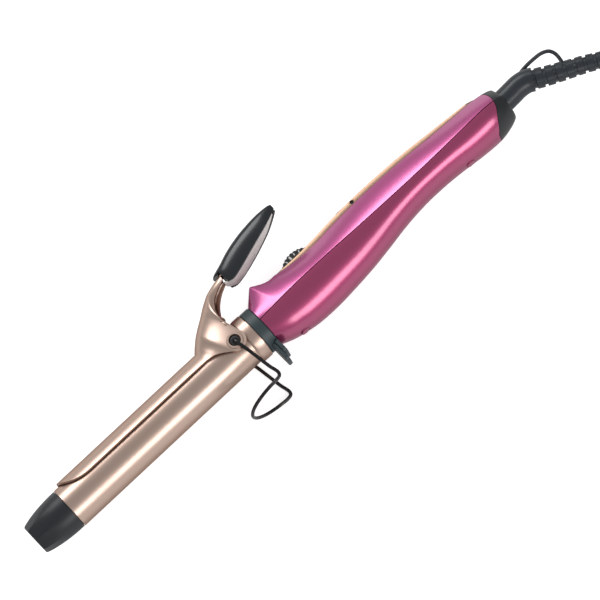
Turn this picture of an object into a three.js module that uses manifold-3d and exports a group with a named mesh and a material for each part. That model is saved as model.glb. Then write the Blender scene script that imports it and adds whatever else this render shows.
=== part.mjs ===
// A curling iron: a heated barrel with a sprung clamp and thumb lever, a two-shell handle
// with a temperature wheel and a power rocker, a fold-out wire stand and a swivelling cord.
// Lengths are in millimetres. In the drawing frame X runs from the barrel's mouth to the
// cord, Y points to the thumb lever and Z is the clamp's pivot axis. The iron lies on its
// side on the far leg of its stand, so Z is also up.

import * as THREE from 'three';
import { mergeVertices } from 'three/addons/utils/BufferGeometryUtils.js';
import Module from 'manifold-3d';

const wasm = await Module();
wasm.setup();

// Fits and cuts.
const gap = 0.3;
const overrun = 5;
const weld = 0.0005;

// Barrel, tip and collar.
const barrelRadius = 12.5;
const barrelLength = 140;
const barrelWall = 1;
const tipLength = 25;
const collarLap = 3;
const collarLength = 6.2;
const collarRadius = 13.6;
const spigotInset = 3;
const spigotLength = 6.5;

// Clamp, lever and pivot.
const pivotInset = 14.5;
const pivotTubeRadius = 2.4;
const bushRadius = 3.1;
const sheet = 1.3;
const clampLift = 0.6;
const clampMouth = 3.5;
const leverLead = 20.5;
const leverLength = 40;
const leverRise = 24.2;
const earRadius = 6.4;
const earHalfSpan = 16.1;
const earRimHeight = 0.5;
const capSetback = 16;
const capLength = 51;
const capTop = 50;
const capHalfWidth = 7.5;
const capWall = 1.5;

// Handle. What it carries is set back from its front end, or in from its rear end.
const handleLength = 178.5;
const creaseSetback = 14.2;
const creaseLean = 6;
const handleHalfWidth = 17;
const bellyDepth = 19.8;
const crestHeight = 19.75;
const crestHalfWidth = 8;
const handleWall = 2.5;
const tailDepth = 15.1;
const tailHeight = 12.6;
const tailSlope = 18.875;
const trimSetback = 23;
const trimInset = 11;
const trimHeight = 3.3;
const trimMargin = 1;
const wheelSetback = 37.2;
const wheelY = 6.1;
const wheelRadius = 13.5;
const wheelHalfWidth = 3.5;
const wheelRoom = 0.9;
const wheelSideRoom = 0.8;
const rockerSetback = 70;
const rockerLength = 21.5;
const screwFrontSetback = 14.1;
const screwRearInset = 36.2;

// Stand, boot and cord.
const wireRadius = 1;
const standReach = 33.1;
const neckY = 1;
const neckRadius = 4.6;
const bootRadius = 6.7;
const cordRadius = 3;
const coilRadius = 34.4;
const coilPitch = 6.6;
const coilTurns = 7;

// Places along the iron, and the surface under it.
const collarStart = barrelLength - collarLap;
const handleStart = collarStart + collarLength + gap;
const handleEnd = handleStart + handleLength;
const pivotX = barrelLength - pivotInset;
const leverStart = pivotX - leverLead;
const capStart = pivotX + capSetback;
const creaseX = handleStart + creaseSetback;
const trimStart = handleStart + trimSetback;
const trimEnd = handleEnd - trimInset;
const wheelX = handleStart + wheelSetback;
const rockerStart = handleStart + rockerSetback;
const screwFrontX = handleStart + screwFrontSetback;
const screwRearX = handleEnd - screwRearInset;
const standHalfSpan = earHalfSpan + earRimHeight + gap + wireRadius;
const floorZ = -(standHalfSpan + wireRadius);
const spigotRadius = collarRadius - spigotInset;
const pivotBore = wireRadius + gap;

const handleFinish = new THREE.MeshStandardMaterial({
  color: 0x9a2f60,
  roughness: 0.3,
  metalness: 0.5,
});
const handleLightFinish = new THREE.MeshStandardMaterial({
  color: 0xb65c8c,
  roughness: 0.28,
  metalness: 0.5,
});
const champagne = new THREE.MeshStandardMaterial({
  color: 0xc9ad98,
  roughness: 0.34,
  metalness: 0.85,
});
const paleChampagne = new THREE.MeshStandardMaterial({
  color: 0xe0cfc2,
  roughness: 0.3,
  metalness: 0.6,
});
const blackPlastic = new THREE.MeshStandardMaterial({
  color: 0x25292d,
  roughness: 0.42,
  metalness: 0,
});
const greyPlastic = new THREE.MeshStandardMaterial({
  color: 0x4a5157,
  roughness: 0.5,
  metalness: 0,
});
const darkWire = new THREE.MeshStandardMaterial({
  color: 0x2b2c2f,
  roughness: 0.25,
  metalness: 0.9,
});
const steel = new THREE.MeshStandardMaterial({
  color: 0xa9a9a6,
  roughness: 0.35,
  metalness: 0.9,
});
const boardGreen = new THREE.MeshStandardMaterial({
  color: 0x2c5a3c,
  roughness: 0.6,
  metalness: 0,
});
const ceramic = new THREE.MeshStandardMaterial({
  color: 0xd9d4c8,
  roughness: 0.8,
  metalness: 0,
});
const cordRubber = new THREE.MeshStandardMaterial({
  color: 0x1d1f21,
  roughness: 0.6,
  metalness: 0,
});

const iron = new THREE.Group();
const cordGroup = new THREE.Group();

// A closed geometry becomes a solid: shared corners are welded, slivers without area go,
// and the faces are turned out.
function toSolid(geometry) {
  const bare = new THREE.BufferGeometry();
  bare.setAttribute('position', geometry.getAttribute('position'));
  bare.setIndex(geometry.getIndex());
  const welded = mergeVertices(bare, weld);
  const places = welded.getAttribute('position');
  const corners = welded.getIndex().array;
  const kept = [];
  let volume = 0;
  const [a, b, c] = [new THREE.Vector3(), new THREE.Vector3(), new THREE.Vector3()];
  for (let i = 0; i < corners.length; i += 3) {
    const [p, q, r] = [corners[i], corners[i + 1], corners[i + 2]];
    if (p === q || q === r || r === p) {
      continue;
    }
    a.fromBufferAttribute(places, p);
    b.fromBufferAttribute(places, q);
    c.fromBufferAttribute(places, r);
    volume += a.dot(b.cross(c));
    kept.push(p, q, r);
  }
  if (volume < 0) {
    kept.reverse();
  }
  const mesh = new wasm.Mesh({
    numProp: 3,
    vertProperties: Float32Array.from(places.array),
    triVerts: Uint32Array.from(kept),
  });
  return new wasm.Manifold(mesh);
}

// A finished solid joins the scene under its name.
function place(name, solid, material, group = iron) {
  const { vertProperties, triVerts } = solid.getMesh();
  const geometry = new THREE.BufferGeometry();
  geometry.setAttribute('position', new THREE.BufferAttribute(vertProperties, 3));
  geometry.setIndex(new THREE.BufferAttribute(triVerts, 1));
  geometry.computeVertexNormals();
  const mesh = new THREE.Mesh(geometry, material);
  mesh.name = name;
  group.add(mesh);
}

// A solid turned about the X axis through a given height, from [along, radius] pairs.
function revolve(profile, sides = 40, height = 0) {
  const points = profile.map(([along, radius]) => new THREE.Vector2(radius, along));
  const closed = profile[0][1] !== 0;
  if (closed) {
    points.push(points[0].clone());
  }
  const geometry = new THREE.LatheGeometry(points, sides);
  geometry.rotateZ(-Math.PI / 2);
  geometry.translate(0, height, 0);
  return toSolid(geometry);
}

// A round bar between two points.
function bar(from, to, radius, sides = 24) {
  const start = new THREE.Vector3(...from);
  const end = new THREE.Vector3(...to);
  const axis = end.clone().sub(start);
  const geometry = new THREE.CylinderGeometry(radius, radius, axis.length(), sides);
  const turn = new THREE.Quaternion();
  turn.setFromUnitVectors(new THREE.Vector3(0, 1, 0), axis.clone().normalize());
  geometry.applyQuaternion(turn);
  const middle = start.clone().lerp(end, 0.5);
  geometry.translate(middle.x, middle.y, middle.z);
  return toSolid(geometry);
}

// A block from its low corner to its high corner.
function block(low, high) {
  const size = high.map((value, i) => value - low[i]);
  const geometry = new THREE.BoxGeometry(...size);
  geometry.translate(...low.map((value, i) => value + size[i] / 2));
  return toSolid(geometry);
}

// A skin over rings of equal count, closed by a fan at each end.
function loft(rings) {
  const count = rings[0].length;
  const places = rings.flat().flatMap((point) => [point.x, point.y, point.z]);
  const corners = [];
  for (let ring = 0; ring + 1 < rings.length; ring += 1) {
    for (let i = 0; i < count; i += 1) {
      const next = (i + 1) % count;
      const [a, b] = [ring * count + i, ring * count + next];
      corners.push(a, b, a + count, b, b + count, a + count);
    }
  }
  for (const [ring, flip] of [[0, true], [rings.length - 1, false]]) {
    const middle = new THREE.Vector3();
    rings[ring].forEach((point) => middle.add(point));
    middle.divideScalar(count);
    const hub = places.length / 3;
    places.push(middle.x, middle.y, middle.z);
    for (let i = 0; i < count; i += 1) {
      const [a, b] = [ring * count + i, ring * count + ((i + 1) % count)];
      corners.push(...(flip ? [b, a, hub] : [a, b, hub]));
    }
  }
  const geometry = new THREE.BufferGeometry();
  geometry.setAttribute('position', new THREE.Float32BufferAttribute(places, 3));
  geometry.setIndex(corners);
  return toSolid(geometry);
}

// A sheet between an outer and an inner grid of points, closed round its four edges.
function sheetBody(outer, inner) {
  const rows = outer.length;
  const columns = outer[0].length;
  const half = rows * columns;
  const grids = [...outer.flat(), ...inner.flat()];
  const places = grids.flatMap((point) => [point.x, point.y, point.z]);
  const corners = [];
  const quad = (a, b, c, d) => corners.push(a, b, c, a, c, d);
  for (let row = 0; row + 1 < rows; row += 1) {
    for (let column = 0; column + 1 < columns; column += 1) {
      const a = row * columns + column;
      const d = a + columns;
      quad(a, a + 1, d + 1, d);
      quad(half + a, half + d, half + d + 1, half + a + 1);
    }
  }
  for (let column = 0; column + 1 < columns; column += 1) {
    const last = (rows - 1) * columns + column;
    quad(column, half + column, half + column + 1, column + 1);
    quad(last, last + 1, half + last + 1, half + last);
  }
  for (let row = 0; row + 1 < rows; row += 1) {
    const first = row * columns;
    const last = first + columns - 1;
    quad(first, first + columns, half + first + columns, half + first);
    quad(last, half + last, half + last + columns, last + columns);
  }
  const geometry = new THREE.BufferGeometry();
  geometry.setAttribute('position', new THREE.Float32BufferAttribute(places, 3));
  geometry.setIndex(corners);
  return toSolid(geometry);
}

// A curve given by a formula of its share of the way, for wires and cords.
class Path extends THREE.Curve {
  constructor(pointAt) {
    super();
    this.pointAt = pointAt;
    this.arcLengthDivisions = 800;
  }

  getPoint(share) {
    return this.pointAt(share);
  }
}

// A round wire or cord along a curve.
function tube(curve, radius, steps, sides) {
  const outline = [];
  for (let i = 0; i < sides; i += 1) {
    const angle = ((i + 0.5) * 2 * Math.PI) / sides;
    outline.push(new THREE.Vector2(radius * Math.cos(angle), radius * Math.sin(angle)));
  }
  const geometry = new THREE.ExtrudeGeometry(new THREE.Shape(outline), {
    steps,
    bevelEnabled: false,
    extrudePath: curve,
  });
  return toSolid(geometry);
}

// A flat outline in the XY plane, extruded along Z between two heights.
function plate(outline, low, high) {
  const shape = new THREE.Shape(outline.map(([x, y]) => new THREE.Vector2(x, y)));
  const geometry = new THREE.ExtrudeGeometry(shape, {
    depth: high - low,
    bevelEnabled: false,
  });
  geometry.translate(0, 0, low);
  return toSolid(geometry);
}

// A smooth curve through evenly spaced values, read at a share of its length.
function through(values, share) {
  const last = values.length - 1;
  const reach = THREE.MathUtils.clamp(share, 0, 1) * last;
  const index = Math.min(Math.floor(reach), last - 1);
  const at = (i) => values[THREE.MathUtils.clamp(i, 0, last)];
  const t = reach - index;
  const [a, b, c, d] = [at(index - 1), at(index), at(index + 1), at(index + 2)];
  return b + 0.5 * t * (c - a + t * (2 * a - 5 * b + 4 * c - d + t * (3 * (b - c) + d - a)));
}

// The insulated tip: it swells to the barrel's size and grows eight grip flats at its end.
function coolTip() {
  const spigot = barrelRadius - barrelWall - gap;
  const spigotDepth = 8;
  const flats = 8;
  const flatDepthShare = 0.035;
  const outlineShares = [[1, 0.01], [1, 0.69], [0.975, 0.74], [0.9, 0.79], [0.75, 0.86],
    [0.52, 0.935], [0.25, 0.98], [0.012, 0.99]];
  const rings = outlineShares.map(([alongShare, radiusShare]) => {
    const fadeShare = flatDepthShare * THREE.MathUtils.smoothstep(alongShare, 0.3, 0.95);
    const ring = [];
    for (let i = 0; i < 4 * flats; i += 1) {
      const angle = (i * Math.PI) / (2 * flats);
      const radius = barrelRadius * radiusShare * (1 - fadeShare * (1 + Math.cos(flats * angle)));
      const [y, z] = [radius * Math.cos(angle), radius * Math.sin(angle)];
      ring.push(new THREE.Vector3(-tipLength * alongShare, y, z));
    }
    return ring;
  });
  const body = loft(rings);
  const plug = bar([-tipLength / 2, 0, 0], [spigotDepth, 0, 0], spigot, 40);
  place('cool_tip', body.add(plug), blackPlastic);
}

// The barrel is a thin tube with a cross hole for the pivot and a slot for the spring's leg.
function barrel() {
  const inner = barrelRadius - barrelWall;
  const slotHalfWidth = 1.5;
  const slotLength = 5;
  const tubeWall = revolve([[0, inner], [0, barrelRadius], [barrelLength, barrelRadius],
    [barrelLength, inner]], 40);
  const hole = pivotTubeRadius + gap;
  const span = barrelRadius + overrun;
  const cross = bar([pivotX, 0, -span], [pivotX, 0, span], hole);
  const slot = block([pivotX, inner / 2, -slotHalfWidth],
    [pivotX + slotLength, span, slotHalfWidth]);
  place('barrel', tubeWall.subtract(cross).subtract(slot), champagne);

  const coreStart = 10;
  const springRoom = 8.5;
  const coreBore = 4;
  const coreRadius = inner - gap;
  place('heater_core', revolve([[coreStart, coreBore], [coreStart, coreRadius],
    [pivotX - springRoom, coreRadius], [pivotX - springRoom, coreBore]], 24), ceramic);
}

// A ferrule hides the barrel's root, and the collar behind it carries the barrel on a web.
// The collar's heel is a tab of two stacked layers, the front one longer and narrower.
function collar() {
  const ferruleLength = 6.2;
  const ferruleRim = 1.1;
  const ferruleBore = barrelRadius + gap;
  const ferruleRadius = ferruleBore + ferruleRim;
  const ferruleEnd = collarStart - gap;
  const ferruleStart = ferruleEnd - ferruleLength;
  place('base_ferrule', revolve([[ferruleStart, ferruleBore],
    [ferruleStart, ferruleRadius - ferruleRim / 2], [ferruleStart + ferruleRim, ferruleRadius],
    [ferruleEnd, ferruleRadius], [ferruleEnd, ferruleBore]], 32), champagne);

  const seat = barrelLength + gap;
  const webWall = 1.6;
  const webHole = 6;
  const spigotWall = 2.6;
  const tabWall = 2.2;
  const tabHalfWidth = 7.1;
  const tabReach = 20.8;
  const tabStep = 4.4;
  const tabCorner = 3;
  const rear = handleStart - gap;
  const spigotEnd = handleStart + spigotLength;
  const body = revolve([[collarStart, ferruleBore], [collarStart, collarRadius],
    [rear, collarRadius], [rear, spigotRadius], [spigotEnd, spigotRadius],
    [spigotEnd, spigotRadius - spigotWall], [seat + webWall, spigotRadius - spigotWall],
    [seat + webWall, webHole], [seat, webHole], [seat, ferruleBore]], 32);
  const tabLayer = (x, halfWidth, reach) => {
    const outline = new THREE.Shape();
    outline.moveTo(-halfWidth, -ferruleBore);
    outline.lineTo(-halfWidth, tabCorner - reach);
    outline.quadraticCurveTo(-halfWidth, -reach, tabCorner - halfWidth, -reach);
    outline.lineTo(halfWidth - tabCorner, -reach);
    outline.quadraticCurveTo(halfWidth, -reach, halfWidth, tabCorner - reach);
    outline.lineTo(halfWidth, -ferruleBore);
    const shape = new THREE.ExtrudeGeometry(outline, {
      depth: tabWall,
      bevelEnabled: false,
      curveSegments: 5,
    });
    shape.rotateY(Math.PI / 2);
    shape.translate(x, 0, 0);
    return toSolid(shape);
  };
  const layers = tabLayer(rear - tabWall, tabHalfWidth, tabReach)
    .add(tabLayer(rear - 2 * tabWall, tabHalfWidth - tabStep / 3, tabReach + tabStep));
  const recess = revolve([[collarStart - overrun, 0], [collarStart - overrun, ferruleBore],
    [seat, ferruleBore], [seat, 0]], 32);
  place('front_collar', body.add(layers.subtract(recess)), greyPlastic);
}

// The handle's section at a place along it: [y, z] from a share that starts at the near
// seam, runs over the crest to the far seam and comes back under the belly. The flanks are
// nearly flat, the crest is flat under the trim and the belly is round.
function handlePoint(x, share, inset) {
  const widthShares = [0.91, 0.98, 1, 0.97, 0.925, 0.88, 0.845, 0.825, 0.825, 0.855, 0.9,
    0.955, 0.93];
  const depthShares = [0.86, 0.975, 0.995, 0.95, 0.88, 0.77, 0.645, 0.565, 0.55, 0.59, 0.67,
    0.7, 0.64];
  const crestShares = [1, 0.755, 0.653, 0.638, 0.689, 0.724, 0.732, 0.719, 0.689, 0.643,
    0.608, 0.585, 0.57];
  const crestWidthShares = [1, 0.985, 0.97, 0.95, 0.93, 0.91, 0.89, 0.87, 0.855, 0.84, 0.83,
    0.82, 0.81];
  const shoulderShare = 0.27;
  const flankShare = 0.66;
  const crownShare = 0.07;
  const scoopShare = 0.085;
  const frontShare = 1 / 12;
  const first = creaseX - creaseLean;
  const along = (x - first) / (handleEnd - first);
  const tail = THREE.MathUtils.clamp((x - (handleEnd - tailSlope)) / tailSlope, 0, 1);
  const shoulder = 1 - shoulderShare * (1 - Math.sqrt(1 - tail * tail));
  const width = handleHalfWidth * through(widthShares, along) * shoulder - inset;
  const depth = bellyDepth * through(depthShares, along) * shoulder - inset;
  const scoop = scoopShare * Math.sin(Math.PI * THREE.MathUtils.clamp(along / frontShare, 0, 1));
  const crest = crestHeight * (through(crestShares, along) - scoop) * shoulder - inset;
  const flat = crestHalfWidth * through(crestWidthShares, along) * shoulder - 0.7 * inset;
  const crown = crestHeight * crownShare * Math.max(0, 1 - along / 0.09);
  if (share > 0.5) {
    const angle = (share - 0.5) * 2 * Math.PI;
    return [-depth * Math.sin(angle), -width * Math.cos(angle)];
  }
  const side = share < 0.25 ? 1 : -1;
  const climb = 1 - Math.abs(1 - 4 * share);
  if (climb > flankShare) {
    const inward = (1 - climb) / (1 - flankShare);
    return [crest + crown * (1 - inward * inward), side * flat * inward];
  }
  const t = climb / flankShare;
  const bulge = width - 0.28 * (width - flat);
  const z = (1 - t) * (1 - t) * width + 2 * t * (1 - t) * bulge + t * t * flat;
  return [crest * t, side * z];
}

// A ring of the handle. A lean sets its crest ahead of its seam, as at the front crease.
function handleRing(x, lean, inset, count) {
  const ring = [];
  for (let i = 0; i < count; i += 1) {
    const share = i / count;
    const [height] = handlePoint(x, share, inset);
    const [crest] = handlePoint(x, 0.25, inset);
    const leaned = x - lean * Math.max(0, height / crest);
    const [y, z] = handlePoint(leaned, share, inset);
    ring.push(new THREE.Vector3(leaned, y, z));
  }
  return ring;
}

function roundRing(x, radius, count) {
  const ring = [];
  for (let i = 0; i < count; i += 1) {
    const angle = (2 * Math.PI * i) / count;
    ring.push(new THREE.Vector3(x, radius * Math.sin(angle), radius * Math.cos(angle)));
  }
  return ring;
}

// Between the round front end and the crease the upper side stays flat, and the belly
// swells, so that the crease ends at the seam.
function frontRings(front, crease) {
  const swell = 0.035;
  return [0.3, 0.65].map((share) => front.map((point, i) => {
    const middle = point.clone().lerp(crease[i], share);
    const belly = Math.max(0, -Math.sin(Math.atan2(middle.y, Math.abs(middle.z))));
    const growth = 1 + swell * 4 * share * (1 - share) * belly;
    return new THREE.Vector3(middle.x, middle.y * growth, middle.z * growth);
  }));
}

// The whole outer form of the handle, or its hollow, as one solid.
function handleForm(inset) {
  const outside = inset === 0;
  const count = outside ? 36 : 16;
  const steps = outside ? 15 : 7;
  const rings = [];
  const mouth = spigotRadius + gap;
  if (outside) {
    const front = roundRing(handleStart, collarRadius - gap, count);
    rings.push(front, ...frontRings(front, handleRing(creaseX, creaseLean, inset, count)));
  } else {
    rings.push(roundRing(handleStart - overrun, mouth, count));
    rings.push(roundRing(handleStart + spigotLength, mouth, count));
  }
  const start = outside ? creaseX : creaseX + creaseLean / 2;
  const end = outside ? handleEnd : handleEnd - handleWall / 2;
  const tailStart = handleEnd - tailDepth;
  for (let i = 0; i < steps; i += 1) {
    const share = (i / steps) ** (outside ? 1.3 : 1);
    const x = start + (tailStart - start) * share;
    const lean = outside ? creaseLean * Math.max(0, 1 - 9 * share) : 0;
    rings.push(handleRing(x, lean, inset, count));
  }
  const tailSteps = outside ? 5 : 2;
  for (let i = 0; i <= tailSteps; i += 1) {
    const share = Math.sin((i / tailSteps) * (Math.PI / 2));
    rings.push(handleRing(tailStart + (end - tailStart) * share, 0, inset, count));
  }
  return loft(rings);
}

// Everything ahead of the curved line where the handle's shells meet the rear cap.
function aheadOfCap(shift) {
  const lineShares = [[0.63, 1], [0.37, 0.71], [0.33, 0.25], [0.44, -0.26], [0.63, -0.57],
    [0.87, -0.93], [1, -1.05]];
  const points = lineShares.map(([depthShare, heightShare]) => new THREE.Vector2(
    handleEnd - tailDepth * depthShare + shift, tailHeight * heightShare));
  const line = new THREE.SplineCurve(points).getPoints(18).map((point) => [point.x, point.y]);
  const far = 2 * handleHalfWidth;
  const [top, bottom] = [line[0], line[line.length - 1]];
  const ahead = handleStart - 2 * overrun;
  return plate([[ahead, far], [top[0], far], ...line, [bottom[0], -far], [ahead, -far]],
    -far, far);
}

// Two shells meet along the seam. The upper one carries the wheel's ribs and the trim; the
// lower one has the screw bosses and the ribs under the control board.
function handleShells() {
  const hollow = handleForm(handleWall);
  const shell = handleForm(0).subtract(hollow).intersect(aheadOfCap(0));
  const far = 2 * bellyDepth;
  const half = gap / 2;
  const ends = [handleStart - overrun, handleEnd + overrun];
  const above = block([ends[0], half, -far], [ends[1], far, far]);
  const below = block([ends[0], -far, -far], [ends[1], -half, far]);

  const ribWall = 1.5;
  const ribInner = wheelHalfWidth + ribWall;
  const ribHalfLength = 3;
  const ribDrop = 3;
  const axleRadius = 1.5;
  let ribs = null;
  for (const side of [-1, 1]) {
    const zs = [side * ribInner, side * (ribInner + ribWall)].sort((p, q) => p - q);
    const rib = block([wheelX - ribHalfLength, wheelY - ribDrop, zs[0]],
      [wheelX + ribHalfLength, crestHeight, zs[1]]);
    ribs = ribs ? ribs.add(rib) : rib;
  }
  const bossRadius = 4;
  const coverFit = 0.2;
  const screwHole = 1.7;
  const headHole = 2.9;
  const headDepth = 7;
  let pillars = null;
  let holes = null;
  let heads = null;
  for (const x of [screwFrontX, screwRearX]) {
    const pillar = bar([x, -bellyDepth, 0], [x, crestHeight, 0], bossRadius);
    const hole = bar([x, -far, 0], [x, wheelY, 0], screwHole, 16);
    const [bottom] = handlePoint(x, 0.75, 0);
    const head = bar([x, -far, 0], [x, bottom + headDepth, 0], headHole);
    pillars = pillars ? pillars.add(pillar) : pillar;
    holes = holes ? holes.add(hole) : hole;
    heads = heads ? heads.add(head) : head;
  }
  const axleSpan = ribInner + ribWall + overrun;
  const axleHole = bar([wheelX, wheelY, -axleSpan], [wheelX, wheelY, axleSpan],
    axleRadius + gap, 16);
  const rockerSlot = rockerRoom();
  const inside = handleForm(handleWall / 2).intersect(aheadOfCap(-gap));
  const upper = shell.intersect(above)
    .add(ribs.add(pillars.intersect(above)).intersect(inside))
    .subtract(axleHole)
    .subtract(wheelSlot())
    .subtract(rockerSlot)
    .subtract(holes);
  place('handle_upper_shell', upper, handleLightFinish);

  const boardWall = 2;
  let shelves = null;
  for (const x of [boardStart + boardInset, boardStart + boardLength - boardInset]) {
    const shelf = block([x - boardWall / 2, -bellyDepth, -boardHalfWidth],
      [x + boardWall / 2, boardLow - gap, boardHalfWidth]);
    shelves = shelves ? shelves.add(shelf) : shelf;
  }
  const lower = shell.intersect(below)
    .add(shelves.add(pillars.intersect(below)).intersect(inside))
    .subtract(holes)
    .subtract(heads);
  place('handle_lower_shell', lower, handleFinish);

  const axleHalf = ribInner + ribWall + gap;
  place('wheel_axle', bar([wheelX, wheelY, -axleHalf], [wheelX, wheelY, axleHalf], axleRadius, 16),
    steel);

  const headRadius = headHole - 1.5 * gap;
  const headHeight = 1.8;
  const shankRadius = screwHole - gap;
  const coverRadius = headHole - coverFit;
  const coverHeight = 2.2;
  const coverProud = 0.4;
  [['front', screwFrontX], ['rear', screwRearX]].forEach(([end, x]) => {
    const [bottom] = handlePoint(x, 0.75, 0);
    const seat = bottom + headDepth - gap;
    const head = bar([x, seat - headHeight, 0], [x, seat, 0], headRadius);
    const shank = bar([x, seat - headHeight / 2, 0], [x, wheelY - 2 * gap, 0], shankRadius, 16);
    place(`screw_${end}`, head.add(shank), steel);
    const cover = bar([x, bottom - coverProud, 0], [x, bottom + coverHeight, 0], coverRadius, 28);
    place(`screw_cover_${end}`, cover, handleFinish);
  });
}

// The control board stands on two ribs under the rocker.
const boardLead = 13.5;
const boardStart = rockerStart - boardLead;
const boardRoom = 23.8;
const boardLength = screwRearX - boardRoom - boardStart;
const boardInset = 11;
const boardLow = -4.8;
const boardThickness = 1.6;
const boardHalfWidth = 9;

function controlBoard() {
  place('control_board', block([boardStart, boardLow, -boardHalfWidth],
    [boardStart + boardLength, boardLow + boardThickness, boardHalfWidth]), boardGreen);
}

// The rear cap closes the handle behind the curved line, with a lip inside the shells and a
// bore for the boot's neck.
function endCap() {
  const lipLength = 2;
  const lipStart = handleEnd - tailDepth - lipLength;
  const far = 2 * bellyDepth;
  const behind = block([lipStart, -far, -far], [handleEnd + overrun, far, far]);
  const outer = handleForm(0).intersect(behind).subtract(aheadOfCap(gap));
  const lip = handleForm(handleWall + gap).intersect(behind);
  const bore = bar([lipStart - overrun, neckY, 0], [handleEnd + overrun, neckY, 0],
    neckRadius + gap, 28);
  const pocket = bar([lipStart - overrun, neckY, 0], [neckWallX - gap, neckY, 0],
    retainerRadius + gap, 28);
  place('end_cap', outer.add(lip).subtract(bore).subtract(pocket), blackPlastic);
}

// The retaining ring sits in the neck's groove against the cap's inner face.
const neckWallInset = 12.9;
const neckWallX = handleEnd - neckWallInset;
const retainerRadius = 6.8;
const retainerWidth = 2.4;
const grooveDepth = 0.8;
const retainerStart = neckWallX - 2 * gap - retainerWidth;

function retainer() {
  const bore = neckRadius - grooveDepth + gap;
  place('swivel_retainer', revolve([[retainerStart, bore], [retainerStart, retainerRadius],
    [retainerStart + retainerWidth, retainerRadius], [retainerStart + retainerWidth, bore]],
  18, neckY), steel);
}

// The crest line of the upper shell at a place along the handle.
function crestAt(x) {
  return handlePoint(x, 0.25, 0)[0];
}

function trimTopAt(x) {
  const heightShares = [0.3, 0.66, 0.93, 1, 1, 1, 1, 0.97, 0.92, 0.82, 0.66, 0.42];
  const share = (x - trimStart) / (trimEnd - trimStart);
  return crestAt(x) + trimHeight * through(heightShares, share);
}

function trimHalfWidthAt(x) {
  const [, z] = handlePoint(x, 0.25 * 0.66, 0);
  return z - trimMargin;
}

// The room that the thumbwheel needs in the shell and the trim.
function wheelSlot() {
  const half = wheelHalfWidth + wheelSideRoom;
  return bar([wheelX, wheelY, -half], [wheelX, wheelY, half], wheelRadius + wheelRoom, 36);
}

// The metal trim lies along the crest, with bright bevelled edges, and is cut out for the
// wheel and the rocker.
function topTrim() {
  const bevel = 0.8;
  const steps = 18;
  const rings = [];
  for (let i = 0; i <= steps; i += 1) {
    const share = i / steps;
    const x = trimStart + (trimEnd - trimStart) * share;
    const rounding = Math.min(1, 0.72 + 9 * Math.min(share, 1 - share));
    const half = trimHalfWidthAt(x) * rounding;
    const low = crestAt(x) + gap;
    const high = trimTopAt(x);
    const edge = Math.min(bevel, (high - low) / 2);
    const outline = [[low, half], [high - edge, half], [high, half - edge],
      [high + edge / 4, 0], [high, edge - half], [high - edge, -half], [low, -half]];
    rings.push(outline.map(([y, z]) => new THREE.Vector3(x, y, z)));
  }
  const trunnion = bar([rockerPivotX, rockerPivotY(), -crestHalfWidth],
    [rockerPivotX, rockerPivotY(), crestHalfWidth], trunnionRadius + gap, 16);
  const trim = loft(rings).subtract(wheelSlot()).subtract(rockerRoom()).subtract(trunnion);
  place('top_trim', trim, champagne);
}

// A knurled thumbwheel shows through the slot, and turns on its axle.
function temperatureWheel() {
  const ridges = 36;
  const ridgeDepth = 0.5;
  const bore = 1.8;
  const outline = [];
  for (let i = 0; i < 2 * ridges; i += 1) {
    const angle = (i * Math.PI) / ridges;
    const radius = wheelRadius - (i % 2) * ridgeDepth;
    outline.push([wheelX + radius * Math.cos(angle), wheelY + radius * Math.sin(angle)]);
  }
  const wheel = plate(outline, -wheelHalfWidth, wheelHalfWidth);
  const span = wheelHalfWidth + overrun;
  const hole = bar([wheelX, wheelY, -span], [wheelX, wheelY, span], bore, 16);
  place('temperature_wheel', wheel.subtract(hole), blackPlastic);
}

// The power rocker lies in a window of the trim, on two trunnions, with its front end proud.
const rockerHalfWidth = 4.4;
const rockerDepth = 3.2;
const rockerProud = 0.9;
const trunnionRadius = 0.8;
const trunnionLength = 1.2;
const rockerPivotX = rockerStart + rockerLength / 2;

function rockerPivotY() {
  return crestAt(rockerPivotX) + trimHeight / 2;
}

function rockerRoom() {
  const drop = 2.8;
  const middle = crestAt(rockerPivotX);
  const front = rockerStart - 2 * gap;
  const rear = rockerStart + rockerLength + gap;
  const half = rockerHalfWidth + gap;
  const high = middle + 3 * trimHeight;
  return block([front, middle - drop, -half], [rear, high, half]);
}

function powerRocker() {
  const steps = 6;
  const bevel = 0.5;
  const rings = [];
  for (let i = 0; i <= steps; i += 1) {
    const share = i / steps;
    const x = rockerStart + rockerLength * share;
    const high = trimTopAt(x) + rockerProud * (1 - share);
    const low = trimTopAt(rockerPivotX) - rockerDepth;
    const outline = [[low, rockerHalfWidth], [high - bevel, rockerHalfWidth],
      [high, rockerHalfWidth - bevel], [high, bevel - rockerHalfWidth],
      [high - bevel, -rockerHalfWidth], [low, -rockerHalfWidth]];
    rings.push(outline.map(([y, z]) => new THREE.Vector3(x, y, z)));
  }
  const reach = rockerHalfWidth + trunnionLength;
  const pin = bar([rockerPivotX, rockerPivotY(), -reach], [rockerPivotX, rockerPivotY(), reach],
    trunnionRadius, 16);
  place('power_rocker', loft(rings).add(pin), blackPlastic);
}

// The pivot is a thin tube through the barrel, with a shouldered bush in each ear of the
// lever. The stand's wire ends turn in its bore.
function pivot() {
  const tubeHalf = barrelRadius + gap / 3;
  const turned = (solid) => solid.rotate([0, -90, 0]).translate([pivotX, 0, 0]);
  const sleeve = revolve([[-tubeHalf, pivotBore], [-tubeHalf, pivotTubeRadius],
    [tubeHalf, pivotTubeRadius], [tubeHalf, pivotBore]], 18);
  place('pivot_tube', turned(sleeve), steel);

  const bushStart = tubeHalf + gap;
  const bushEnd = earHalfSpan - gap;
  const bush = revolve([[bushStart, pivotBore], [bushStart, bushRadius], [bushEnd, bushRadius],
    [bushEnd, pivotBore]], 20);
  place('pivot_bush_near', turned(bush), blackPlastic);
  place('pivot_bush_far', turned(bush.mirror([1, 0, 0])), blackPlastic);
}

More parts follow.
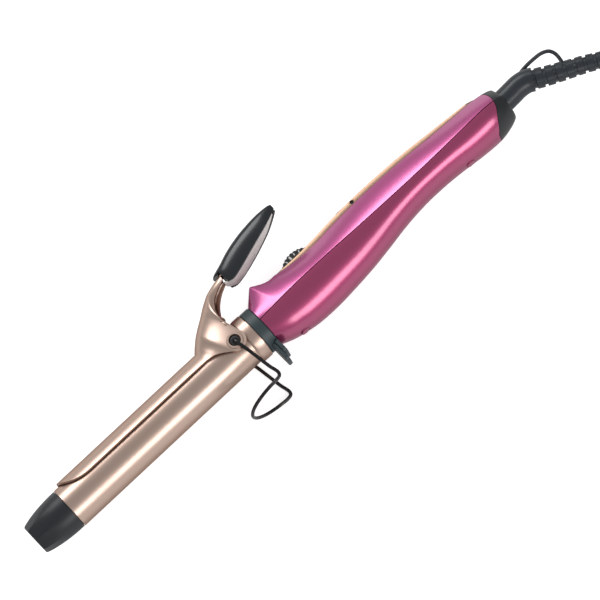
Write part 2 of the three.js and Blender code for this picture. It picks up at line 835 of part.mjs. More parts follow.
// One row of the pressed sheet: it bends from the spine down to an edge on either side. The
// angle says how far the bend goes and the power how square its shoulder is.
function pressedRow(spine, edge, halfSpan, angle, power) {
  const columns = 20;
  const reach = Math.cos(angle) ** (2 / power);
  const span = Math.sin(angle) ** (2 / power);
  const row = [];
  for (let i = 0; i <= columns; i += 1) {
    const turn = ((2 * i) / columns - 1) * angle;
    const drop = (1 - Math.cos(turn) ** (2 / power)) / (1 - reach);
    const z = (Math.sign(turn) * halfSpan * Math.abs(Math.sin(turn)) ** (2 / power)) / span;
    const x = spine[0] + (edge[0] - spine[0]) * drop;
    const y = spine[1] + (edge[1] - spine[1]) * drop;
    row.push(new THREE.Vector3(x, y, z));
  }
  return row;
}

// The same grid moved inwards by the sheet's thickness.
function insideOf(grid, thickness) {
  const last = grid.length - 1;
  const side = grid[0].length - 1;
  return grid.map((row, i) => row.map((point, j) => {
    const along = grid[Math.min(i + 1, last)][j].clone().sub(grid[Math.max(i - 1, 0)][j]);
    const across = row[Math.min(j + 1, side)].clone().sub(row[Math.max(j - 1, 0)]);
    const out = across.cross(along).normalize();
    return point.clone().addScaledVector(out, -thickness);
  }));
}

// The clamp and its lever are pressed from one sheet: a half-round shell over the barrel
// swells into two ears at the pivot, and rises behind them to a narrow neck and a tongue.
function clamp() {
  const shellRadius = barrelRadius + clampLift + sheet;
  const shellAngle = THREE.MathUtils.degToRad(75);
  const noseLength = 20.5;
  const noseRows = 7;
  const shellRows = 4;
  const grid = [];
  const shellRow = (x, angle) => {
    const edge = [x, shellRadius * Math.cos(angle)];
    return pressedRow([x, shellRadius], edge, shellRadius * Math.sin(angle), angle, 2);
  };
  for (let i = 0; i < noseRows; i += 1) {
    const share = (i / noseRows) ** 2;
    const opening = (1 - (1 - share) ** 2.5) ** 0.4;
    const angle = shellAngle * Math.max(0.16, opening);
    grid.push(shellRow(clampMouth + noseLength * share, angle));
  }
  const straight = leverStart - clampMouth - noseLength;
  for (let i = 0; i < shellRows; i += 1) {
    grid.push(shellRow(clampMouth + noseLength + (straight * i) / shellRows, shellAngle));
  }

  const spineShares = [[0, 0], [0.05, 0.091], [0.1125, 0.182], [0.1875, 0.285],
    [0.2625, 0.38], [0.3375, 0.463], [0.4125, 0.545], [0.475, 0.616], [0.5375, 0.682],
    [0.6125, 0.752], [0.675, 0.814], [0.7625, 0.88], [0.875, 0.946], [1, 1]];
  const earAngles = [-150, -115, -80, -42, -5, 32];
  const frontEdgeShares = [[-0.4625, 0.152], [-0.325, 0.095]];
  const rearEdgeShares = [[0.085, 0.372], [0.075, 0.64], [0.1075, 0.9], [0.2125, 1.165],
    [0.35, 1.33], [0.4875, 1.43]];
  const spanShares = [0.848, 0.89, 0.975, 1, 1, 1, 1, 1, 0.988, 0.915, 0.78, 0.561, 0.39, 0.305];
  const edgeAt = ([alongShare, riseShare]) => [pivotX + leverLength * alongShare,
    leverRise * riseShare];
  const edges = [
    ...frontEdgeShares.map(edgeAt),
    ...earAngles.map((degrees) => {
      const angle = THREE.MathUtils.degToRad(degrees);
      return [pivotX + earRadius * Math.cos(angle), earRadius * Math.sin(angle)];
    }),
    ...rearEdgeShares.map(edgeAt),
  ];
  spineShares.forEach(([alongShare, riseShare], i) => {
    const spine = [leverStart + leverLength * alongShare, shellRadius + leverRise * riseShare];
    const bend = THREE.MathUtils.smoothstep(i, 0, 3);
    const angle = shellAngle + (Math.PI / 2 - shellAngle) * bend;
    grid.push(pressedRow(spine, edges[i], earHalfSpan * spanShares[i], angle, 2 + 0.7 * bend));
  });
  const body = sheetBody(grid, insideOf(grid, sheet));

  const rimRadius = 4.8;
  const holeRadius = bushRadius + gap;
  let rims = null;
  for (const side of [-1, 1]) {
    const inside = side * (earHalfSpan - sheet / 2);
    const outside = side * (earHalfSpan + earRimHeight);
    const rim = bar([pivotX, 0, inside], [pivotX, 0, outside], rimRadius, 28);
    rims = rims ? rims.add(rim) : rim;
  }
  const span = earHalfSpan + overrun;
  const hole = bar([pivotX, 0, -span], [pivotX, 0, span], holeRadius, 28);

  const tongueHalfWidth = 3;
  const tongueLength = 19;
  const tongueRoot = 1.6;
  const tongueSlope = Math.tan(THREE.MathUtils.degToRad(15));
  const rootX = leverStart + leverLength - tongueRoot;
  const rootY = shellRadius + leverRise - tongueRoot * tongueSlope - sheet / 3;
  const tipX = rootX + tongueLength;
  const tipY = rootY + tongueLength * tongueSlope;
  const thin = sheet / 1.5;
  const tongue = plate([[rootX, rootY], [tipX, tipY], [tipX, tipY - thin], [rootX, rootY - thin]],
    -tongueHalfWidth, tongueHalfWidth);
  place('clamp', body.add(rims).subtract(hole).add(tongue), champagne);
}

// The thumb cap's outline at a share of its length: place along, rim, top and half-width.
function capAt(share) {
  const alongShares = [0, 0.03, 0.09, 0.167, 0.3, 0.48, 0.657, 0.814, 0.951, 1];
  const rimShares = [0.69, 0.66, 0.628, 0.612, 0.64, 0.696, 0.756, 0.816, 0.884, 0.915];
  const topShares = [0.8, 0.82, 0.838, 0.862, 0.912, 0.958, 0.986, 1, 0.998, 0.985];
  const widthShares = [0.33, 0.56, 0.75, 0.88, 0.973, 1, 0.893, 0.707, 0.427, 0.29];
  return {
    x: capStart + capLength * through(alongShares, share),
    rim: capTop * through(rimShares, share),
    top: capTop * through(topShares, share),
    half: capHalfWidth * through(widthShares, share),
  };
}

// The thumb cap is a deep leaf-shaped moulding over the tongue, and a pale insert with two
// small slots closes it from below.
function thumbPieces() {
  const rows = 16;
  const columns = 12;
  const power = 2.3;
  const grids = [0, capWall].map((wall) => {
    const grid = [];
    for (let i = 0; i <= rows; i += 1) {
      const share = i / rows;
      const { x, rim, top, half } = capAt(share);
      const row = [];
      for (let j = 0; j <= columns; j += 1) {
        const turn = (j / columns - 0.5) * Math.PI;
        const z = Math.sign(turn) * (half - wall) * Math.abs(Math.sin(turn)) ** (2 / power);
        const rise = Math.max(0, Math.cos(turn)) ** (2 / power);
        const y = rim + (top - wall - rim) * rise;
        row.push(new THREE.Vector3(x + wall * (1 - 2 * share), y, z));
      }
      grid.push(row);
    }
    return grid;
  });
  const neckRoom = 5.5;
  const neckRise = 1;
  const neckEnd = leverStart + leverLength + neckRoom;
  const neckTop = barrelRadius + clampLift + sheet + leverRise + neckRise;
  const neckHalf = capHalfWidth - capWall - gap;
  const room = block([capStart - overrun, 0, -neckHalf], [neckEnd, neckTop, neckHalf]);
  place('thumb_cap', sheetBody(...grids).subtract(room), blackPlastic);

  const insertSteps = 16;
  const insertWall = 1.2;
  const insertShares = [0.13, 0.92];
  const rings = [];
  for (let i = 0; i <= insertSteps; i += 1) {
    const share = insertShares[0] + ((insertShares[1] - insertShares[0]) * i) / insertSteps;
    const { x, rim, half } = capAt(share);
    const side = half - capWall - gap;
    rings.push([[rim, side], [rim + insertWall, side - gap], [rim + insertWall, gap - side],
      [rim, -side]].map(([y, z]) => new THREE.Vector3(x + capWall * (1 - 2 * share), y, z)));
  }
  const slotLength = 5.3;
  const slotWidth = 1;
  const slotZ = -2.6;
  let slots = null;
  for (const share of [0.16, 0.42]) {
    const x = capStart + capLength * share;
    const slot = block([x, 0, slotZ - slotWidth / 2], [x + slotLength, capTop, slotZ + slotWidth / 2]);
    slots = slots ? slots.add(slot) : slot;
  }
  place('thumb_insert', loft(rings).subtract(slots), paleChampagne);
}

// The least space between two turns of a wound wire, measured on points along its middle.
function leastGap(curve, radius, samples, apart) {
  const points = curve.getSpacedPoints(samples);
  let least = Infinity;
  for (let i = 0; i < points.length; i += 1) {
    for (let j = i + apart; j < points.length; j += 1) {
      least = Math.min(least, points[i].distanceTo(points[j]));
    }
  }
  return least - 2 * radius;
}

// A torsion spring is wound round the pivot tube. One leg lies in the barrel and the other
// reaches up through the slot, under the lever.
function clampSpring() {
  const springWire = 0.6;
  const windClearance = 0.4;
  const windRadius = pivotTubeRadius + springWire + windClearance;
  const windPitch = 1.8;
  const winds = 4.125;
  const lowLeg = 8;
  const highLeg = 23.5;
  const highLegShares = [0.153, 0.391, 0.596, 0.809, 1];
  const start = -Math.PI / 4;
  const half = (winds * windPitch) / 2;
  const points = [];
  const first = [windRadius * Math.cos(start), windRadius * Math.sin(start)];
  for (const back of [lowLeg, lowLeg / 2]) {
    const x = pivotX + first[0] + back * Math.sin(start);
    points.push(new THREE.Vector3(x, first[1] - back * Math.cos(start), -half));
  }
  const windSteps = 33;
  const steps = 60;
  for (let i = 0; i <= windSteps; i += 1) {
    const angle = start + (winds * 2 * Math.PI * i) / windSteps;
    const [x, y] = [windRadius * Math.cos(angle), windRadius * Math.sin(angle)];
    points.push(new THREE.Vector3(pivotX + x, y, (2 * half * i) / windSteps - half));
  }
  const leanShares = [0.97, 0.22, 0, 0, 0];
  highLegShares.forEach((share, i) => {
    points.push(new THREE.Vector3(pivotX + windRadius, highLeg * share, half * leanShares[i]));
  });
  const curve = new THREE.CatmullRomCurve3(points);
  console.log('clamp_spring least gap', leastGap(curve, springWire, 600, 60).toFixed(2));
  place('clamp_spring', tube(curve, springWire, steps, 5), steel);
}

// The stand is one bent wire: its ends turn in the pivot, its legs run down both sides and
// its foot is a half ellipse that lies ahead of them.
function standWire() {
  const endShare = 0.57;
  const legSlant = 4.4;
  const footReach = 24.9;
  const bend = 1.8;
  const footBend = 2.4;
  const side = [
    [0, 0, standHalfSpan * endShare],
    [0, 0, (standHalfSpan * (endShare + 1)) / 2 - bend / 2],
    [0, 0, standHalfSpan - bend],
    [0, -bend * 0.3, standHalfSpan - bend * 0.3],
    [0, -bend, standHalfSpan],
  ];
  for (const share of [0.25, 0.5, 0.75]) {
    side.push([legSlant * share, -standReach * share, standHalfSpan]);
  }
  side.push([legSlant, footBend - standReach, standHalfSpan]);
  side.push([legSlant - footBend * 0.3, footBend * 0.3 - standReach, standHalfSpan]);
  const footSteps = 7;
  const steps = 84;
  for (let i = 0; i < footSteps; i += 1) {
    const angle = ((i + 0.6) / (footSteps - 0.4)) * (Math.PI / 2) * 0.93;
    side.push([legSlant - footReach * Math.sin(angle), -standReach,
      standHalfSpan * Math.cos(angle)]);
  }
  const near = side.map(([x, y, z]) => new THREE.Vector3(pivotX + x, y, z));
  const middle = new THREE.Vector3(pivotX + legSlant - footReach, -standReach, 0);
  const far = side.map(([x, y, z]) => new THREE.Vector3(pivotX + x, y, -z)).reverse();
  const curve = new THREE.CatmullRomCurve3([...near, middle, ...far]);
  place('stand_wire', tube(curve, wireRadius, steps, 7), darkWire);
}

// The strain relief turns in the rear cap. It is one moulding: a grooved neck, a smooth
// elbow, a ribbed tail that thins towards the cord, and a hanging loop.
const bootLength = 68;
const bootDrop = 28.4;
const bootEndRadius = 4.5;

function bootLine() {
  const lineShares = [[0, 0], [0.091, -0.007], [0.184, -0.014], [0.256, 0.018], [0.334, 0.123],
    [0.413, 0.232], [0.481, 0.32], [0.585, 0.451], [0.69, 0.581], [0.769, 0.697],
    [0.868, 0.824], [1, 1]];
  const points = lineShares.map(([alongShare, dropShare]) => new THREE.Vector3(
    handleEnd + bootLength * alongShare, neckY - bootDrop * dropShare, 0));
  return new THREE.CatmullRomCurve3(points);
}

function boot() {
  const sides = 10;
  const line = bootLine();
  const length = line.getLength();
  const chamfer = 0.5;
  const neckTip = 1.4;
  const groove = neckRadius - grooveDepth;
  const grooveStart = retainerStart - gap;
  const grooveEnd = retainerStart + retainerWidth + gap;
  const neckStart = grooveStart - neckTip;
  const stations = [
    [neckStart - handleEnd, neckRadius - chamfer],
    [neckStart + chamfer - handleEnd, neckRadius],
    [grooveStart - handleEnd, neckRadius],
    [grooveStart - handleEnd, groove],
    [grooveEnd - handleEnd, groove],
    [grooveEnd - handleEnd, neckRadius],
    [gap, neckRadius],
    [gap, bootRadius - chamfer],
    [gap + chamfer, bootRadius],
  ];
  const smoothLength = 21.5;
  const smoothSteps = 5;
  for (let i = 1; i <= smoothSteps; i += 1) {
    stations.push([(smoothLength * i) / smoothSteps, bootRadius]);
  }
  const ribPitch = 5.75;
  const ribGroove = 1.5;
  const ribDepth = 1.1;
  const ribStart = 5.8;
  const ribs = Math.floor((length - smoothLength) / ribPitch);
  for (let i = 0; i < ribs; i += 1) {
    const from = smoothLength + i * ribPitch;
    const radius = ribStart + ((bootEndRadius - ribStart) * i) / (ribs - 1);
    stations.push([from, radius - ribDepth]);
    stations.push([from + ribGroove, radius - ribDepth]);
    stations.push([from + ribGroove, radius]);
    stations.push([from + ribPitch, radius]);
  }
  stations.push([length, bootEndRadius]);
  const rings = stations.map(([distance, radius]) => {
    const share = Math.max(0, distance / length);
    const middle = line.getPointAt(Math.min(1, share));
    const heading = distance > 0 ? line.getTangentAt(Math.min(1, share))
      : new THREE.Vector3(1, 0, 0);
    middle.x += Math.min(0, distance);
    const across = new THREE.Vector3(-heading.y, heading.x, 0);
    const ring = [];
    for (let i = 0; i < sides; i += 1) {
      const angle = (2 * Math.PI * i) / sides;
      const point = middle.clone().addScaledVector(across, radius * Math.cos(angle));
      point.z += radius * Math.sin(angle);
      ring.push(point);
    }
    return ring;
  });
  const loopShares = [[0.228, 0.044], [0.2735, 0.078], [0.3456, 0.09], [0.4265, 0.09],
    [0.507, 0.081], [0.562, 0.05], [0.582, 0], [0.578, -0.059], [0.562, -0.125]];
  const loopWire = 1.1;
  const loopPoints = loopShares.map(([alongShare, riseShare]) => new THREE.Vector3(
    handleEnd + bootLength * alongShare, neckY + bootLength * riseShare, 0));
  const loop = tube(new THREE.CatmullRomCurve3(loopPoints), loopWire, 18, 8);
  place('swivel_boot', loft(rings).add(loop), blackPlastic);
}

// The cord drops from the strain relief to the surface under the iron, lies there in a coil of
// two layers, and ends in its plug beside the coil.
const cordLift = 0.1;
const leadLength = 63;
const tailAside = 7.8;
const plugAside = 17.1;
const plugHalfHeight = 8.2;

function cord() {
  const dropShares = [[0, 0], [0.05, 0], [0.11, 0], [0.19, 0.03], [0.27, 0.115],
    [0.35, 0.24], [0.43, 0.39], [0.51, 0.56], [0.59, 0.72], [0.67, 0.855], [0.75, 0.95],
    [0.81, 0.99], [0.87, 1], [0.94, 1], [1, 1]];
  const straight = 2 * cordRadius;
  const line = bootLine();
  const exit = line.getPointAt(1);
  const heading = line.getTangentAt(1);
  const low = floorZ + cordRadius + cordLift;
  const lead = dropShares.map(([alongShare, dropShare]) => {
    const point = exit.clone().addScaledVector(heading, leadLength * alongShare + gap);
    point.z = low * dropShare;
    return point;
  });
  const leadCurve = new THREE.CatmullRomCurve3(lead);
  place('cord_lead', tube(leadCurve, cordRadius, 12, 8), cordRubber, cordGroup);

  const half = coilTurns / 2;
  const inner = coilRadius - (coilPitch * half) / 2;
  const outer = coilRadius + (coilPitch * half) / 2;
  const entry = lead[lead.length - 1].clone().addScaledVector(heading, gap + straight);
  const side = new THREE.Vector3(heading.y, -heading.x, 0);
  const centre = entry.clone().addScaledVector(side, -outer);
  const around = (degrees, radius, z) => {
    const turn = THREE.MathUtils.degToRad(degrees);
    const point = centre.clone();
    point.addScaledVector(side, radius * Math.cos(turn));
    point.addScaledVector(heading, radius * Math.sin(turn));
    point.z = z;
    return point;
  };
  const loopSteps = 24;
  const points = [];
  for (const back of [straight, straight / 2]) {
    points.push(entry.clone().addScaledVector(heading, -back));
  }
  for (let i = 0; i <= loopSteps * coilTurns; i += 1) {
    const turn = i / loopSteps;
    const radius = inner + coilPitch * Math.abs(turn - half);
    const climb = THREE.MathUtils.smoothstep(turn, half - 0.25, half + 0.25);
    points.push(around(360 * turn, radius, low + coilPitch * climb));
  }
  const top = points[points.length - 1].clone();
  for (const on of [straight / 2, straight]) {
    points.push(top.clone().addScaledVector(heading, on));
  }
  const coil = new THREE.CatmullRomCurve3(points);
  coil.arcLengthDivisions = points.length * 4;
  console.log('cord_coil least gap', leastGap(coil, cordRadius, 1600, 40).toFixed(2));
  place('cord_coil', tube(coil, cordRadius, points.length - 1, 6), cordRubber, cordGroup);

  const tail = [];
  for (const on of [gap, cordRadius, straight]) {
    tail.push(top.clone().addScaledVector(heading, straight + on));
  }
  const tailStart = 12;
  const tailEnd = 224;
  const tailSteps = 20;
  const { smoothstep } = THREE.MathUtils;
  for (let i = 1; i <= tailSteps; i += 1) {
    const degrees = tailStart + ((tailEnd - tailStart) * i) / tailSteps;
    const aside = tailAside * smoothstep(degrees, -10, 60)
      + (plugAside - tailAside) * smoothstep(degrees, 170, 234);
    const drop = coilPitch * (1 - smoothstep(degrees, 10, 70));
    const rise = (plugHalfHeight - cordRadius) * smoothstep(degrees, 170, 218);
    tail.push(around(degrees, outer + aside, low + drop + rise));
  }
  const tailCurve = new THREE.CatmullRomCurve3(tail);
  place('cord_tail', tube(tailCurve, cordRadius, 30, 8), cordRubber, cordGroup);
  const total = leadCurve.getLength() + coil.getLength() + tailCurve.getLength();
  console.log('cord length', total.toFixed(1));
  plug(tailCurve.getPointAt(1), tailCurve.getTangentAt(1));
}

// A plain two-blade plug lies beside the coil at the cord's end.
function plug(end, heading) {
  const bodyLength = 44;
  const halfWidth = 12;
  const bladeSpacing = 12.7;
  const bladeThickness = 1.5;
  const bladeWidth = 6.3;
  const bladeLength = 17;
  const bladeRoot = 6;
  const sectionShares = [[0, 0.36, 0.5], [0.1, 0.4, 0.56], [0.3, 0.45, 0.62], [0.4, 0.7, 0.8],
    [0.55, 0.95, 0.97], [0.75, 1, 1], [0.95, 0.97, 0.97], [1, 0.88, 0.9]];
  const sides = 20;
  const rings = sectionShares.map(([alongShare, widthShare, heightShare]) => {
    const ring = [];
    const power = 2 + 1.6 * widthShare * alongShare;
    for (let i = 0; i < sides; i += 1) {
      const angle = (2 * Math.PI * i) / sides;
      const [c, s] = [Math.cos(angle), Math.sin(angle)];
      const y = halfWidth * widthShare * Math.sign(c) * Math.abs(c) ** (2 / power);
      const z = plugHalfHeight * heightShare * Math.sign(s) * Math.abs(s) ** (2 / power);
      ring.push(new THREE.Vector3(gap + bodyLength * alongShare, y, z));
    }
    return ring;
  });
  const seat = new THREE.Group();
  seat.position.set(end.x, end.y, floorZ + plugHalfHeight + cordLift);
  seat.rotation.z = Math.atan2(heading.y, heading.x);
  cordGroup.add(seat);
  let body = loft(rings);
  const blades = ['a', 'b'].map((letter, i) => {
    const y = bladeSpacing * (i - 0.5);
    const low = [gap + bodyLength - bladeRoot, y - bladeThickness / 2, -bladeWidth / 2];
    const high = [gap + bodyLength + bladeLength, y + bladeThickness / 2, bladeWidth / 2];
    const pocket = block(low.map((value) => value - gap), high.map((value) => value + gap));
    body = body.subtract(pocket);
    return [`plug_pin_${letter}`, block(low, high)];
  });
  place('plug_body', body, blackPlastic, seat);
  blades.forEach(([name, blade]) => place(name, blade, steel, seat));
}

coolTip();
barrel();
collar();
handleShells();
endCap();
topTrim();
temperatureWheel();
powerRocker();
controlBoard();
pivot();
clamp();
thumbPieces();
clampSpring();
standWire();
boot();
retainer();

// The origin is under the middle of the iron, at the surface that it lies on.
const bounds = new THREE.Box3().setFromObject(iron);
const middle = bounds.getCenter(new THREE.Vector3());
cord();
iron.add(cordGroup);
iron.position.set(-middle.x, -middle.y, -bounds.min.z);
console.log('frame shift', middle.x.toFixed(3), middle.y.toFixed(3), bounds.min.z.toFixed(3));

export default iron;
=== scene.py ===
# A curling iron on its side on a white table: a champagne barrel with a sprung clamp, a
# metallic magenta handle, a wire stand and a black cord.
import math

import bmesh
import bpy
from mathutils import Matrix, Vector


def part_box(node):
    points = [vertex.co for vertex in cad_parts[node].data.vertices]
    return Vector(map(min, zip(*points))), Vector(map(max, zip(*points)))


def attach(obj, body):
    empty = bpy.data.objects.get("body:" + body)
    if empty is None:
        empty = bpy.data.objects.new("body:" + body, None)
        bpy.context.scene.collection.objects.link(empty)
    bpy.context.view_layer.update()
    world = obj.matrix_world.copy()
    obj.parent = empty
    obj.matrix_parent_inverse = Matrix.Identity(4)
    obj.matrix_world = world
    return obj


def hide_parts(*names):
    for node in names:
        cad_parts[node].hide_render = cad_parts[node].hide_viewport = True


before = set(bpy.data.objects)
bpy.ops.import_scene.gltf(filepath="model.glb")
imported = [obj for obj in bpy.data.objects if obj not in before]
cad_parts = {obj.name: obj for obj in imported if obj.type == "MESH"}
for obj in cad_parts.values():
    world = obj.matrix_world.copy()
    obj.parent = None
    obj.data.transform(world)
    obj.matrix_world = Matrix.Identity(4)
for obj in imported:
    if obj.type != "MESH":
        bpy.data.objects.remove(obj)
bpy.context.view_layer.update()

# The iron is drawn in millimetres: along it from the barrel's mouth to the cord, across it
# to the thumb lever, and up along the clamp's pivot. The pivot tube marks that place.
MM = 0.001
PIVOT_ALONG = 125.5
pivot_low, pivot_high = (Vector(corner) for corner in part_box("pivot_tube"))
pivot = (pivot_low + pivot_high) / 2
table_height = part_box("stand_wire")[0][2]


def at(along, across=0.0, up=0.0):
    return pivot + Vector((along - PIVOT_ALONG, across, up)) * MM


# The photograph looks down on the iron, a little from its belly side, from so far away
# that nothing converges. The barrel runs up to the right across the picture.
VIEW_MIDDLE = at(167.3, -2.7)
VIEW_WIDTH = 324 * MM
VIEW_DISTANCE = 2.2
VIEW_LEAN = -0.098
VIEW_PITCH = 20.0
VIEW_ROLL = 43.0
SENSOR = 36.0
pitch, roll = math.radians(VIEW_PITCH), math.radians(VIEW_ROLL)
perp = Vector((0, math.cos(pitch), math.sin(pitch)))
toward = Vector((VIEW_LEAN, -math.sin(pitch), math.cos(pitch))).normalized()
along_view = perp.cross(toward).normalized()
right = along_view * math.cos(roll) - perp * math.sin(roll)
upward = along_view * math.sin(roll) + perp * math.cos(roll)
camera = bpy.data.objects.new("camera", bpy.data.cameras.new("camera"))
camera.data.sensor_width = SENSOR
camera.data.lens = SENSOR * VIEW_DISTANCE / VIEW_WIDTH
camera.data.clip_end = 4 * VIEW_DISTANCE
camera.matrix_world = Matrix.Translation(VIEW_MIDDLE + toward * VIEW_DISTANCE) @ Matrix(
    (right, upward, toward)).transposed().to_4x4()
bpy.context.scene.collection.objects.link(camera)
bpy.context.scene.camera = camera
bpy.context.scene.view_settings.view_transform = "Standard"

# Studio lights: a long soft box on each side of the iron, given as its place, size and
# watts, which draw the light bands along it. The lever's box is higher than the belly's.
LIGHTS = {
    "belly_soft_box": ((0.1, -1.15, 0.64), (0.95, 0.5), 6.0),
    "lever_soft_box": ((0.1, 0.98, 0.86), (0.95, 0.55), 7.5),
}
for name, (place, size, power) in LIGHTS.items():
    lamp = bpy.data.lights.new(name, "AREA")
    lamp.shape = "RECTANGLE"
    lamp.size, lamp.size_y = size
    lamp.energy = power
    light = bpy.data.objects.new(name, lamp)
    light.location = place
    light.rotation_euler = (VIEW_MIDDLE - light.location).to_track_quat("-Z", "Y").to_euler()
    bpy.context.scene.collection.objects.link(light)


class Sock:
    """A shader socket that can be reckoned with."""

    def __init__(self, tree, socket):
        self.tree = tree
        self.socket = socket

    def node(self, kind, settings=None, inputs=None, output=0):
        node = self.tree.nodes.new(kind)
        for key, value in (settings or {}).items():
            setattr(node, key, value)
        for key, value in (inputs or {}).items():
            self.put(node.inputs[key], value)
        return Sock(self.tree, node.outputs[output])

    def put(self, socket, value):
        if isinstance(value, Sock):
            self.tree.links.new(value.socket, socket)
        else:
            socket.default_value = value

    def math(self, operation, *values):
        return self.node("ShaderNodeMath", {"operation": operation}, dict(enumerate(values)))

    def __add__(self, other):
        return self.math("ADD", self, other)

    def __mul__(self, other):
        return self if other == 1 else self.math("MULTIPLY", self, other)

    def __pow__(self, other):
        return self if other == 1 else self.math("POWER", self, other)

    __radd__ = __add__
    __rmul__ = __mul__

    def rays(self):
        """Whether the light being traced goes to the camera, a mirror or through plastic."""
        return [self.node("ShaderNodeLightPath", output=f"Is {kind} Ray")
                for kind in ("Camera", "Glossy", "Transmission")]


def linear(*levels):
    """A colour as a screen shows it, from 0 to 255, as the shader needs it."""
    shares = [level / 255 for level in levels]
    return (*(s / 12.92 if s <= 0.04045 else ((s + 0.055) / 1.055) ** 2.4 for s in shares), 1)


class Finish:
    """A material under way: its shader, its places on the piece and its bumps."""

    def __init__(self, name, color, roughness, metallic=0.0, **constants):
        self.material = bpy.data.materials.new(name)
        self.material.use_nodes = True
        self.shader = self.material.node_tree.nodes["Principled BSDF"]
        self.any = Sock(self.material.node_tree, None)
        self.place = self.any.node("ShaderNodeTexCoord", output="Object")
        self.color = linear(*color)
        self.set("Base Color", self.color)
        self.set("Roughness", roughness)
        self.set("Metallic", metallic)
        for key, value in constants.items():
            self.set(key.replace("_", " "), value)

    def set(self, socket, value):
        self.any.put(self.shader.inputs[socket], value)

    def noise(self, scale, detail=3, stretch=(1, 1, 1)):
        where = self.any.node("ShaderNodeMapping", None, {"Vector": self.place, "Scale": stretch})
        return self.any.node("ShaderNodeTexNoise", None, {
            "Vector": where, "Scale": scale, "Detail": detail})

    def blend(self, factor, first, second):
        return self.any.node("ShaderNodeMix", {"data_type": "RGBA"}, {
            0: factor, 6: first, 7: second}, output=2)

    def clouded(self, towards, scale, rough=None, spread=0.0, detail=3, power=1, share=1.0):
        """Let the colour drift with one noise, and the roughness too if it has a spread."""
        cloud = self.noise(scale, detail)
        drift = self.blend(cloud ** power * share, self.color, linear(*towards))
        self.set("Base Color", drift)
        if spread:
            self.set("Roughness", rough + cloud * spread)
        return cloud

    def bump(self, height, strength, distance):
        self.set("Normal", self.any.node("ShaderNodeBump", None, {
            "Strength": strength, "Distance": distance, "Height": height}))


def link(thing, body, slot, *nodes):
    bpy.context.scene.collection.objects.link(thing)
    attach(thing, body)
    if nodes:
        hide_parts(*nodes)
    return thing


# White paper lies under the iron. Only the camera and rays through clear plastic see it lit
# pure white, and mirrors a little of that, so it throws no more light on the iron.
FLOOR_HALF = 3.0
FLOOR_GAP = 0.3 * MM
FLOOR_SEEN = 0.68
FLOOR_MIRRORED = 0.1
floor_mesh = bpy.data.meshes.new("table_top")
floor_mesh.from_pydata([(FLOOR_HALF * x, FLOOR_HALF * y, table_height - FLOOR_GAP)
                        for x, y in ((-1, -1), (1, -1), (1, 1), (-1, 1))], [], [(0, 1, 2, 3)])
floor = bpy.data.objects.new("table_top", floor_mesh)
bpy.context.scene.collection.objects.link(floor)
paper = Finish("white_paper", (246, 246, 246), roughness=0.95)
paper.clouded((250, 250, 250), scale=600, detail=4)
to_camera, to_mirror, through_clear = paper.any.rays()
lift = (to_camera + through_clear) * FLOOR_SEEN + to_mirror * FLOOR_MIRRORED
paper.set("Emission Color", paper.blend(lift, (0, 0, 0, 1), (1, 1, 1, 1)))
paper.set("Emission Strength", 1.0)
floor.data.materials.append(paper.material)

# The room is white as well: pure white where it is seen, and plainer as a light.
ROOM_LIGHT = 0.42
ROOM_MIRRORED = 0.45
world = bpy.data.worlds.new("white_room")
world.use_nodes = True
bpy.context.scene.world = world
room = Sock(world.node_tree, None)
to_camera, to_mirror, through_clear = room.rays()
seen = to_camera.math("MAXIMUM", to_camera, through_clear)
background = world.node_tree.nodes["Background"]
background.inputs["Color"].default_value = (1, 1, 1, 1)
room.put(background.inputs["Strength"],
         seen * (1 - ROOM_LIGHT) + to_mirror * (ROOM_MIRRORED - ROOM_LIGHT) + ROOM_LIGHT)

# The cord is one length of soft black flex. It drops from the strain relief to the table and
# lies there in a coil of two layers, with its plug beside it.
CORD_RADIUS = 3.0
CORD_LIFT = 0.1
GAP = 0.3
HANDLE_END = 322.0
BOOT_LENGTH = 68.0
BOOT_DROP = 28.4
NECK_ACROSS = 1.0
LEAD_LENGTH = 63.0
COIL_RADIUS = 34.4
COIL_PITCH = 6.6
COIL_TURNS = 7
COIL_STEPS = 24
CLIMB_HALF = 0.25
TAIL_START = 12
TAIL_END = 224
TAIL_STEPS = 20
TAIL_ASIDE = 7.8
TAIL_LEAVES = (-10, 60)
TAIL_COMES_DOWN = (10, 70)
PLUG_ASIDE = 17.1
PLUG_LEAVES = (170, 234)
PLUG_RISES = (170, 218)
PLUG_HALF_HEIGHT = 8.2
BOOT_LINE = [(0, 0), (0.091, -0.007), (0.184, -0.014), (0.256, 0.018), (0.334, 0.123),
             (0.413, 0.232), (0.481, 0.32), (0.585, 0.451), (0.69, 0.581), (0.769, 0.697),
             (0.868, 0.824), (1, 1)]
DROP = [(0, 0), (0.05, 0), (0.11, 0), (0.19, 0.03), (0.27, 0.115), (0.35, 0.24),
        (0.43, 0.39), (0.51, 0.56), (0.59, 0.72), (0.67, 0.855), (0.75, 0.95), (0.81, 0.99),
        (0.87, 1), (0.94, 1), (1, 1)]


def rubber(name, color=(36, 39, 42), roughness=0.5):
    """Soft black rubber, faintly dusty, with a dull shine that breaks up."""
    finish = Finish(name, color, roughness, Specular_IOR_Level=0.45)
    patches = finish.clouded((58, 63, 67), scale=90, detail=4, rough=roughness - 0.08,
                             spread=0.16, power=2, share=0.55)
    grain = finish.noise(scale=2200, detail=2)
    finish.bump(grain * 0.6 + patches, strength=0.25, distance=0.12 * MM)
    return finish.material


